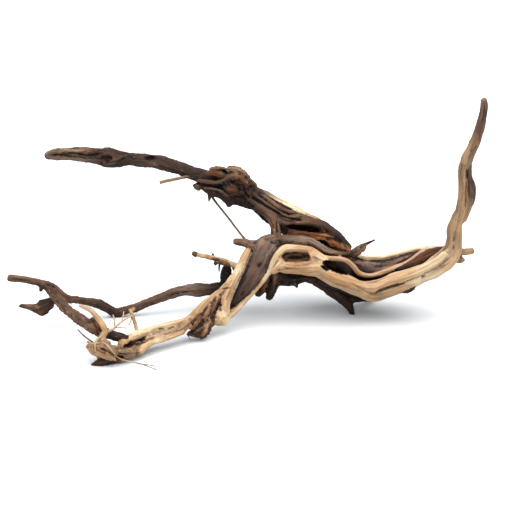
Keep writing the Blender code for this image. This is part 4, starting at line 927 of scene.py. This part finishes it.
# Sizes in mm across the grain. Real fibres are near 0.1 mm: 0.8 mm is as fine as shows
woodFinish = {
    "paleRoughness": 0.55, "darkRoughness": 0.8, "paleShine": 0.3, "darkShine": 0.16,
    "bumpHeight": 0.5, "bumpStrength": 0.75, "bumps": {"bark": 2.5, "strand": 1.3, "crack": -1.2},
    "seedStep": 3.7, "crumbGain": 1.6, "crackEdge": (0.58, 0.72),
    # The border between pale and dark wood: what shifts it, and how far; and how crisp it is
    "borderShifts": {"fibre": 0.5, "bark": 0.35}, "borderEdge": (0.42, 0.58),
    "patterns": {
        # Name: (stretch along the grain, or 0 for none, size, detail, distortion)
        "fibre": (16, 0.8, 3, 0.3), "streak": (16, 3.6, 2, 0.8), "crack": (16, 1.3, 1, 0.5),
        "strand": (16, 1.9, 2, 0.6), "patch": (0, 22, 2, 0.5), "bark": (0, 2.6, 4, 0.4),
        "pores": (0, 1.1, 1, 0.2), "flake": (3.5, 2.4, 3, 0.9),
    },
    # Colour layers: pattern, where it starts and is full, how much, colour, blend
    "pale": [
        ("patch", 0.4, 0.7, 0.3, "#97764F", "MIX"),
        ("streak", 0.5, 0.72, 0.45, "#7E5832", "MIX"),
        ("streak", 0.42, 0.26, 0.25, "#BFA684", "MIX"),
        ("strand", 0.56, 0.72, 0.35, "#74512F", "MIX"),
        ("fibre", 0.58, 0.36, 0.5, "#BC9B7A", "MULTIPLY"),
        ("crack", 0.68, 0.76, 0.2, "#5E4228", "MIX"),
        ("pores", 0.73, 0.79, 0.35, "#4A3220", "MIX"),
        # Painted shade inside the splits and under the folds
        ("splitGap", 1.2, -0.5, 0.65, "#573619", "MIX"),
        # Painted highlight on the ridges, then painted shade in the creases and hollows
        ("cavity", -0.2, -1.4, 0.4, "#F0E2C8", "SOFT_LIGHT"),
        ("cavity", 0.15, 1.7, 0.68, "#805A3C", "MULTIPLY"),
    ],
    "dark": [
        ("patch", 0.42, 0.66, 0.2, "#4A2D22", "MIX"),
        ("streak", 0.48, 0.72, 0.75, "#EFE6DF", "OVERLAY"),
        ("streak", 0.44, 0.28, 0.35, "#1F1611", "MIX"),
        ("fibre", 0.62, 0.38, 0.45, "#6A564A", "MULTIPLY"),
        ("strand", 0.5, 0.68, 0.7, "#EFE6DF", "OVERLAY"),
        ("strand", 0.46, 0.28, 0.45, "#221812", "MIX"),
        ("crumb", 0.58, 0.74, 0.6, "#8E6E50", "MIX"),
        ("crumb", 0.42, 0.28, 0.8, "#120B08", "MIX"),
        ("crack", 0.66, 0.76, 0.4, "#17100C", "MIX"),
        # Painted shade inside the splits and under the folds
        ("splitGap", 0.7, -0.5, 0.7, "#17100C", "MIX"),
        # Painted highlight on the ridges, then painted shade in the creases and hollows
        ("cavity", -0.2, -1.2, 0.5, "#E8D8C0", "SOFT_LIGHT"),
        ("cavity", 0.1, 1.5, 0.75, "#35241A", "MULTIPLY"),
    ],
}


def weatheredWood(name):
    # Root wood stripped by water and sun: satin pale heartwood in long fibres, and dull, dark, crumbling bark
    # left between its ridges, with a crisp border
    material = bpy.data.materials.new(name)
    material.use_nodes = True
    tree = material.node_tree
    shader = tree.nodes["Principled BSDF"]
    read = {key: addNode(tree, "ShaderNodeAttribute", {"attribute_name": key}).outputs for key in (
        "grain", "paleTone", "darkTone", "paleness", "roughBark", "cavity", "splitGap")}
    source = {key: read[key]["Fac"] for key in ("roughBark", "cavity", "splitGap")}
    place = addNode(tree, "ShaderNodeTexCoord").outputs["Object"]
    inMm = addNode(tree, "ShaderNodeVectorMath", {"operation": "SCALE"}, {0: place, "Scale": 1 / mm})
    places = {0: inMm}
    for number, (key, (stretch, size, detail, distortion)) in enumerate(woodFinish["patterns"].items()):
        if stretch not in places:
            places[stretch] = addNode(tree, "ShaderNodeVectorMath", {"operation": "MULTIPLY"},
                                      {0: read["grain"]["Vector"], 1: (1 / mm, 1 / mm, 1 / mm / stretch)})
        source[key] = addNode(tree, "ShaderNodeTexNoise", {"noise_dimensions": "4D"}, {
            "Vector": places[stretch], "Scale": 1 / size, "Detail": detail, "Distortion": distortion,
            "W": woodFinish["seedStep"] * number}).outputs["Fac"]

    # Crumbs of bark show only where the bark is rough
    crumb = addNode(tree, "ShaderNodeMath", {"operation": "SUBTRACT"}, {0: source["flake"], 1: 0.5})
    crumb = addNode(tree, "ShaderNodeMath", {"operation": "MULTIPLY"}, {0: crumb, 1: source["roughBark"]})
    crumb = addNode(tree, "ShaderNodeMath", {"operation": "MULTIPLY_ADD"},
                    {0: crumb, 1: woodFinish["crumbGain"], 2: 0.5})
    source["crumb"] = crumb.outputs[0]

    def layered(colour, layers):
        for key, start, full, amount, tone, blend in layers:
            mask = addNode(tree, "ShaderNodeMapRange", {"interpolation_type": "SMOOTHSTEP"},
                           {"Value": source[key], "From Min": start, "From Max": full, "To Max": amount})
            colour = addNode(tree, "ShaderNodeMix", {"data_type": "RGBA", "blend_type": blend},
                             {"Factor_Float": mask, "A_Color": colour, "B_Color": (*toLinear(tone), 1)})
        return colour

    # The border between pale and dark wood follows the fibres
    border = read["paleness"]["Fac"]
    for key, reach in woodFinish["borderShifts"].items():
        shift = addNode(tree, "ShaderNodeMath", {"operation": "SUBTRACT"}, {0: source[key], 1: 0.5})
        border = addNode(tree, "ShaderNodeMath", {"operation": "MULTIPLY_ADD"},
                         {0: shift, 1: reach, 2: border})
    low, high = woodFinish["borderEdge"]
    isPale = addNode(tree, "ShaderNodeMapRange", {"interpolation_type": "SMOOTHSTEP"},
                     {"Value": border, "From Min": low, "From Max": high})
    wood = addNode(tree, "ShaderNodeMix", {"data_type": "RGBA"}, {
        "Factor_Float": isPale, "A_Color": layered(read["darkTone"]["Color"], woodFinish["dark"]),
        "B_Color": layered(read["paleTone"]["Color"], woodFinish["pale"])})
    tree.links.new(next(s for s in wood.outputs if s.enabled), shader.inputs["Base Color"])
    for socket, key in (("Roughness", "Roughness"), ("Specular IOR Level", "Shine")):
        blend = addNode(tree, "ShaderNodeMapRange", inputs={
            "Value": isPale, "To Min": woodFinish["dark" + key], "To Max": woodFinish["pale" + key]})
        tree.links.new(blend.outputs[0], shader.inputs[socket])

    # Fine ridges along the grain, rough bark, and cracks that sink in
    barky = addNode(tree, "ShaderNodeMath", {"operation": "MULTIPLY"},
                    {0: source["bark"], 1: source["roughBark"]})
    low, high = woodFinish["crackEdge"]
    crack = addNode(tree, "ShaderNodeMapRange", {"interpolation_type": "SMOOTHSTEP"},
                    {"Value": source["crack"], "From Min": low, "From Max": high})
    height = source["fibre"]
    for key, pattern in (("bark", barky), ("strand", source["strand"]), ("crack", crack)):
        height = addNode(tree, "ShaderNodeMath", {"operation": "MULTIPLY_ADD"},
                         {0: pattern, 1: woodFinish["bumps"][key], 2: height})
    bump = addNode(tree, "ShaderNodeBump", inputs={
        "Strength": woodFinish["bumpStrength"], "Distance": woodFinish["bumpHeight"] * mm, "Height": height})
    tree.links.new(bump.outputs[0], shader.inputs["Normal"])
    return material


# Twigs, fibres and knobs: the colours along each, how rough it is, and its (across, up, back, width) in mm
twigs = {
    "frontHook": (("drift", "tan", "ochre", "tan", "drift", "bone", "bone", "bone"), 0.5, [
        (-160, -29, -125, 5.2), (-156.5, -25, -124, 5.2), (-151.8, -19, -122, 5.3),
        (-152.8, -13, -120, 5.2), (-158.5, -5, -115, 5), (-165, 2.8, -110, 4.6), (-170.5, 5.8, -106, 4),
        (-177, 8.2, -102, 2.8)]),
    "frontSpray": (("tan", "bone", "tan", "bone"), 0.2, [
        (-155, -27, -122, 4), (-150, -18.5, -120, 3), (-144, -15, -116, 2.2), (-134, -7, -110, 1.6),
        (-124.5, -1.5, -104, 1.3)]),
    "sprayShoot": (("bone", "bone"), 0.1, [
        (-143, -16, -115, 1.6), (-142, -7, -112, 1.4), (-144, -1, -110, 1.2)]),
    "frontPeg": (("tan", "tan", "ochre", "tan"), 0.3, [
        (-119, -21, -108, 4), (-121, -12, -103, 3.4), (-123.5, -4, -102, 3.2), (-127, 5, -99, 2.8)]),
    "pegKnob": (("tan", "hazel"), 0.5, [
        (-124.5, 3.5, -99, 2.5), (-123, 5, -98, 3.6), (-121.5, 5.5, -98, 1.5)]),
    "pegShoot": (("tan", "cream"), 0.1, [
        (-128, -11.5, -103, 1.1), (-126, -7, -102, 1), (-125, -2, -100, 1)]),
    "sprayTip": (("tan", "cream"), 0.1, [
        (-135, -7.5, -110, 1.1), (-133.5, -2, -108, 1), (-133, 2.5, -107, 0.8)]),
    "sprayBar": (("drift", "tan"), 0.1, [
        (-141, -14, -115, 1.1), (-136, -13.8, -112, 1), (-129.5, -14.3, -110, 0.9)]),
    "longFibre": (("drift", "bone", "hazel", "bone", "ash", "ash"), 0.1, [
        (-156, -28, -134, 1.2), (-150, -31, -143, 1.1), (-145, -37, -147, 1), (-140, -43, -149.5, 0.9),
        (-132, -46.5, -150, 0.9), (-118, -49.5, -150, 0.9), (-106, -53.5, -151, 0.7),
        (-100, -56, -152, 0.6)]),
    "fibreFork": (("bone", "ash"), 0.1, [
        (-119, -49.8, -150, 1.1), (-108, -51, -150, 0.9), (-101, -52.5, -151, 0.7)]),
    "leftHair": (("hazel", "ash", "ash"), 0.1, [
        (-158, -32, -128, 1.8), (-166, -27, -133, 1.4), (-174, -21, -131, 1.2), (-179, -15.5, -130, 1)]),
    "leftCurl": (("bone", "drift", "bone"), 0.1, [
        (-155, -22, -128, 1.4), (-160, -27, -134, 1.3), (-164, -34, -140, 1.3), (-166, -40, -141, 1)]),
    "endFibre": (("bone", "drift"), 0.1, [
        (-158, -24, -130, 1.4), (-161.5, -31, -140, 1.3), (-161, -39, -145, 1)]),
    "loosePeel": (("drift", "bone"), 0.1, [
        (-169, -28, -131, 1.6), (-164, -30, -137, 1.8), (-158, -29, -138, 1.4)]),
    "limbHairA": (("umber", "bark"), 0.1, [
        (-70, -20, -84, 1.2), (-68.5, -22, -85, 0.8), (-67, -25, -85, 0.6)]),
    "limbHairB": (("umber", "bark"), 0.1, [
        (-75, -19, -88, 1.8), (-76, -20.5, -90, 1.6), (-77.5, -21.5, -90, 1)]),
    "splinterTip": (("bark", "umber", "bark"), 0.4, [
        (103, 65.5, -9, 3.6), (110, 70, -11, 2.6), (118, 74, -14, 1.6)]),
    "limbTwig": (("bark", "ash", "hazel", "hazel", "hazel"), 0.4, [
        (-60, 139, 27, 3.2), (-74, 136.3, 22, 3), (-91, 132.7, 19, 3), (-97, 131, 18, 3.4)]),
    "limbTwigKnob": (("hazel", "hazel"), 0.3, [(-88, 132.6, 19, 2.2), (-88, 135.2, 19.5, 1.7)]),
    "bridge": (("bark", "olive", "olive", "olive", "bark"), 0.1, [
        (-46, 120, 22, 2.5), (-42, 113, 22, 2.1), (-36, 105.5, 16, 2), (-28, 95.5, 8, 2),
        (-15, 78.5, -8, 2), (-10, 73, -15, 2.3)]),
    "branchKnob": (("umber", "rough"), 0.6, [
        (-59.5, 58.6, -9, 4), (-62.3, 60, -9, 5.4), (-64.5, 60.6, -8.5, 3.6)]),
    "branchSpur": (("rough", "bark"), 0.5, [(-43.5, 57, -9, 3), (-44, 60.5, -9, 1.6)]),
    "branchBit": (("umber", "shadeBlack"), 0.3, [
        (-37, 51, -10, 2.2), (-37.6, 46, -10, 1.7), (-37.4, 42, -10, 1)]),
    "branchStrut": (("rough", "umber"), 0.3, [(-24, 48, -13, 2.2), (-22, 41, -13, 2)]),
}

# The twigs' making: lengths in metres, the sides of a twig's section, and knottiness as a share
twigMaking = {"Step": 0.9 * mm, "Sides": 8, "Wander": 0.5 * mm, "Wander Size": 9 * mm, "Knottiness": 0.5,
              "Knot Size": 3.5 * mm, "Seed": 7.0}

# How the twigs' paths are laid: steps in mm, the drawn half width and the bark's tone as shares
twigPath = {"step": 2, "halfWidth": 0.56, "barkTone": 0.8}


def twigPaths():
    # All twigs as one mesh of edges that carries their width and colours
    points, edges = [], []
    stored = {"girth": [], "paleTone": [], "darkTone": [], "paleness": [], "roughBark": []}
    for colours, rough, stations in twigs.values():
        rows = smoothRows(stations, twigPath["step"] * mm)
        travelled = np.concatenate([[0], np.cumsum(np.linalg.norm(np.diff(rows[:, :3], axis=0), axis=1))])
        colour, paleness = limbColouring(colours, travelled / travelled[-1])
        edges += [(len(points) + at, len(points) + at + 1) for at in range(len(rows) - 1)]
        points += list(rows[:, :3])
        stored["girth"] += list(rows[:, 3] * twigPath["halfWidth"])
        stored["paleTone"] += list(np.column_stack([colour, np.ones(len(rows))]))
        stored["darkTone"] += list(np.column_stack([colour * twigPath["barkTone"], np.ones(len(rows))]))
        stored["paleness"] += list(paleness)
        stored["roughBark"] += [rough] * len(rows)
    data = bpy.data.meshes.new("fine twigs")
    data.from_pydata(points, edges, [])
    for key, values in stored.items():
        addAttribute(data, key, "FLOAT_COLOR" if key.endswith("Tone") else "FLOAT", "POINT", np.array(values))
    return newObject("fine_twigs", data)


def twigTree(material):
    tree, given = newTree("grown twigs", twigMaking)
    place = addNode(tree, "GeometryNodeInputPosition")
    lines = addNode(tree, "GeometryNodeMeshToCurve", inputs={"Mesh": given["Geometry"]})
    lines = addNode(tree, "GeometryNodeResampleCurve", {"mode": "LENGTH"},
                    {"Curve": lines, "Length": given["Step"]})
    noises = {}
    for key in ("Wander Size", "Knot Size"):
        scale = addNode(tree, "ShaderNodeMath", {"operation": "DIVIDE"}, {0: 1.0, 1: given[key]})
        noises[key] = addNode(tree, "ShaderNodeTexNoise", {"noise_dimensions": "4D"}, {
            "Vector": place, "Scale": scale, "Detail": 1.0, "W": given["Seed"]}).outputs
    swing = addNode(tree, "ShaderNodeVectorMath", {"operation": "SUBTRACT"},
                    {0: noises["Wander Size"]["Color"], 1: (0.5, 0.5, 0.5)})
    swing = addNode(tree, "ShaderNodeVectorMath", {"operation": "SCALE"},
                    {0: swing, "Scale": given["Wander"]})
    lines = addNode(tree, "GeometryNodeSetPosition", inputs={"Geometry": lines, "Offset": swing})
    length = addNode(tree, "GeometryNodeSplineParameter").outputs["Length"]
    lines = addNode(tree, "GeometryNodeStoreNamedAttribute", {"data_type": "FLOAT", "domain": "POINT"},
                    {"Geometry": lines, "Name": "reach", "Value": length})
    section = addNode(tree, "GeometryNodeCurvePrimitiveCircle",
                      inputs={"Resolution": given["Sides"], "Radius": 1.0})
    section = addNode(tree, "GeometryNodeStoreNamedAttribute",
                      {"data_type": "FLOAT_VECTOR", "domain": "POINT"},
                      {"Geometry": section, "Name": "turn", "Value": place})
    girth = addNode(tree, "GeometryNodeInputNamedAttribute", {"data_type": "FLOAT"}, {"Name": "girth"})
    knotty = addNode(tree, "ShaderNodeMath", {"operation": "SUBTRACT"},
                     {0: noises["Knot Size"]["Fac"], 1: 0.5})
    knotty = addNode(tree, "ShaderNodeMath", {"operation": "MULTIPLY_ADD"},
                     {0: knotty, 1: given["Knottiness"], 2: 1.0})
    girth = addNode(tree, "ShaderNodeMath", {"operation": "MULTIPLY"}, {0: girth, 1: knotty})
    skin = addNode(tree, "GeometryNodeCurveToMesh", inputs={
        "Curve": lines, "Profile Curve": section, "Scale": girth, "Fill Caps": True})
    stored = {key: addNode(tree, "GeometryNodeInputNamedAttribute", {"data_type": kind}, {"Name": key})
              for key, kind in (("turn", "FLOAT_VECTOR"), ("girth", "FLOAT"), ("reach", "FLOAT"))}
    around = addNode(tree, "ShaderNodeVectorMath", {"operation": "SCALE"},
                     {0: stored["turn"], "Scale": stored["girth"]})
    parts = addNode(tree, "ShaderNodeSeparateXYZ", inputs={0: around}).outputs
    grain = addNode(tree, "ShaderNodeCombineXYZ", inputs={0: parts[0], 1: parts[1], 2: stored["reach"]})
    skin = addNode(tree, "GeometryNodeStoreNamedAttribute", {"data_type": "FLOAT_VECTOR", "domain": "POINT"},
                   {"Geometry": skin, "Name": "grain", "Value": grain})
    skin = addNode(tree, "GeometryNodeSetShadeSmooth", inputs={0: skin})
    finishTree(tree, skin, material)
    return tree


def flattened(data):
    # Keeps a piece on or above the ground
    points = vertexArray(data.vertices)
    low = points[:, 2] < 0
    points[low, 2] = 0
    data.vertices.foreach_set("co", points.astype(np.float32).ravel())
    data.update()


def addCamera():
    data = bpy.data.cameras.new("front camera")
    data.lens = frontView["lens"]
    camera = newObject("front camera", data)
    aim = Vector((0, 0, frontView["aimHeight"])) - Vector(frontView["origin"])
    side = Vector((1, 0, 0))
    aim += side * frontView["nudge"][0] + viewOver * frontView["nudge"][1]
    camera.matrix_world = Matrix.Translation((aim - sightLine * frontView["distance"]) * mm) @ Matrix(
        (side, viewOver, -sightLine)).transposed().to_4x4()
    bpy.context.scene.camera = camera


# Studio: the floor's size in metres, the lights' strengths, and the overhead one's width and lean in degrees
studio = {"floorSize": 16, "floorTone": "#CDD0D3", "overhead": 4.8, "overheadWidth": 85,
          "overheadLean": (12, 6), "surroundings": 1.05}


def addStudio():
    half = studio["floorSize"] / 2
    corners = [(-half, -half, 0), (half, -half, 0), (half, half, 0), (-half, half, 0)]
    data = bpy.data.meshes.new("white floor")
    data.from_pydata(corners, [], [(0, 1, 2, 3)])
    floor = newObject("white_floor", data)
    paper = bpy.data.materials.new("matt white paper")  # an even, shadow-catching white
    paper.use_nodes = True
    shader = paper.node_tree.nodes["Principled BSDF"]
    shader.inputs["Base Color"].default_value = (*toLinear(studio["floorTone"]), 1)
    shader.inputs["Roughness"].default_value = 0.9
    shader.inputs["Specular IOR Level"].default_value = 0.1
    data.materials.append(paper)
    light = bpy.data.lights.new("overhead", "SUN")
    light.energy = studio["overhead"]
    light.angle = math.radians(studio["overheadWidth"])
    lamp = newObject("overhead", light)
    leanX, leanY = map(math.radians, studio["overheadLean"])
    lamp.matrix_world = Matrix.Rotation(leanX, 4, "X") @ Matrix.Rotation(leanY, 4, "Y")
    world = bpy.data.worlds.new("white surroundings")
    world.use_nodes = True
    world.node_tree.nodes["Background"].inputs["Color"].default_value = (1, 1, 1, 1)
    world.node_tree.nodes["Background"].inputs["Strength"].default_value = studio["surroundings"]
    bpy.context.scene.world = world
    bpy.context.scene.view_settings.view_transform = "Standard"


shapes = {name: limbFrames(smoothRows(stations, rootSkin["loftStep"] * mm))
          for name, (_, _, stations) in allLimbs.items()}
root = makeSkin(shapes)
root.name = "satung_root"
colourByLimb(root.data, shapes)
cutSplits(root.data)
print("skin made:", len(root.data.polygons), "faces")
wood = weatheredWood("weathered root wood")
runTree(root, reliefTree(wood), relief)
flattened(root.data)
markCavities(root.data)
print("relief done")
branches = twigPaths()
runTree(branches, twigTree(wood), twigMaking)
flattened(branches.data)
markCavities(branches.data)
noSplits = np.full(len(branches.data.vertices), splitMaking["farthest"])
addAttribute(branches.data, "splitGap", "FLOAT", "POINT", noSplits)
print("twigs grown:", len(branches.data.polygons), "faces")
for piece in (root, branches):
    piece.data.shade_smooth()
    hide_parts("satung_wood")
    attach(piece, "root")
addStudio()
addCamera()
print("studio ready")
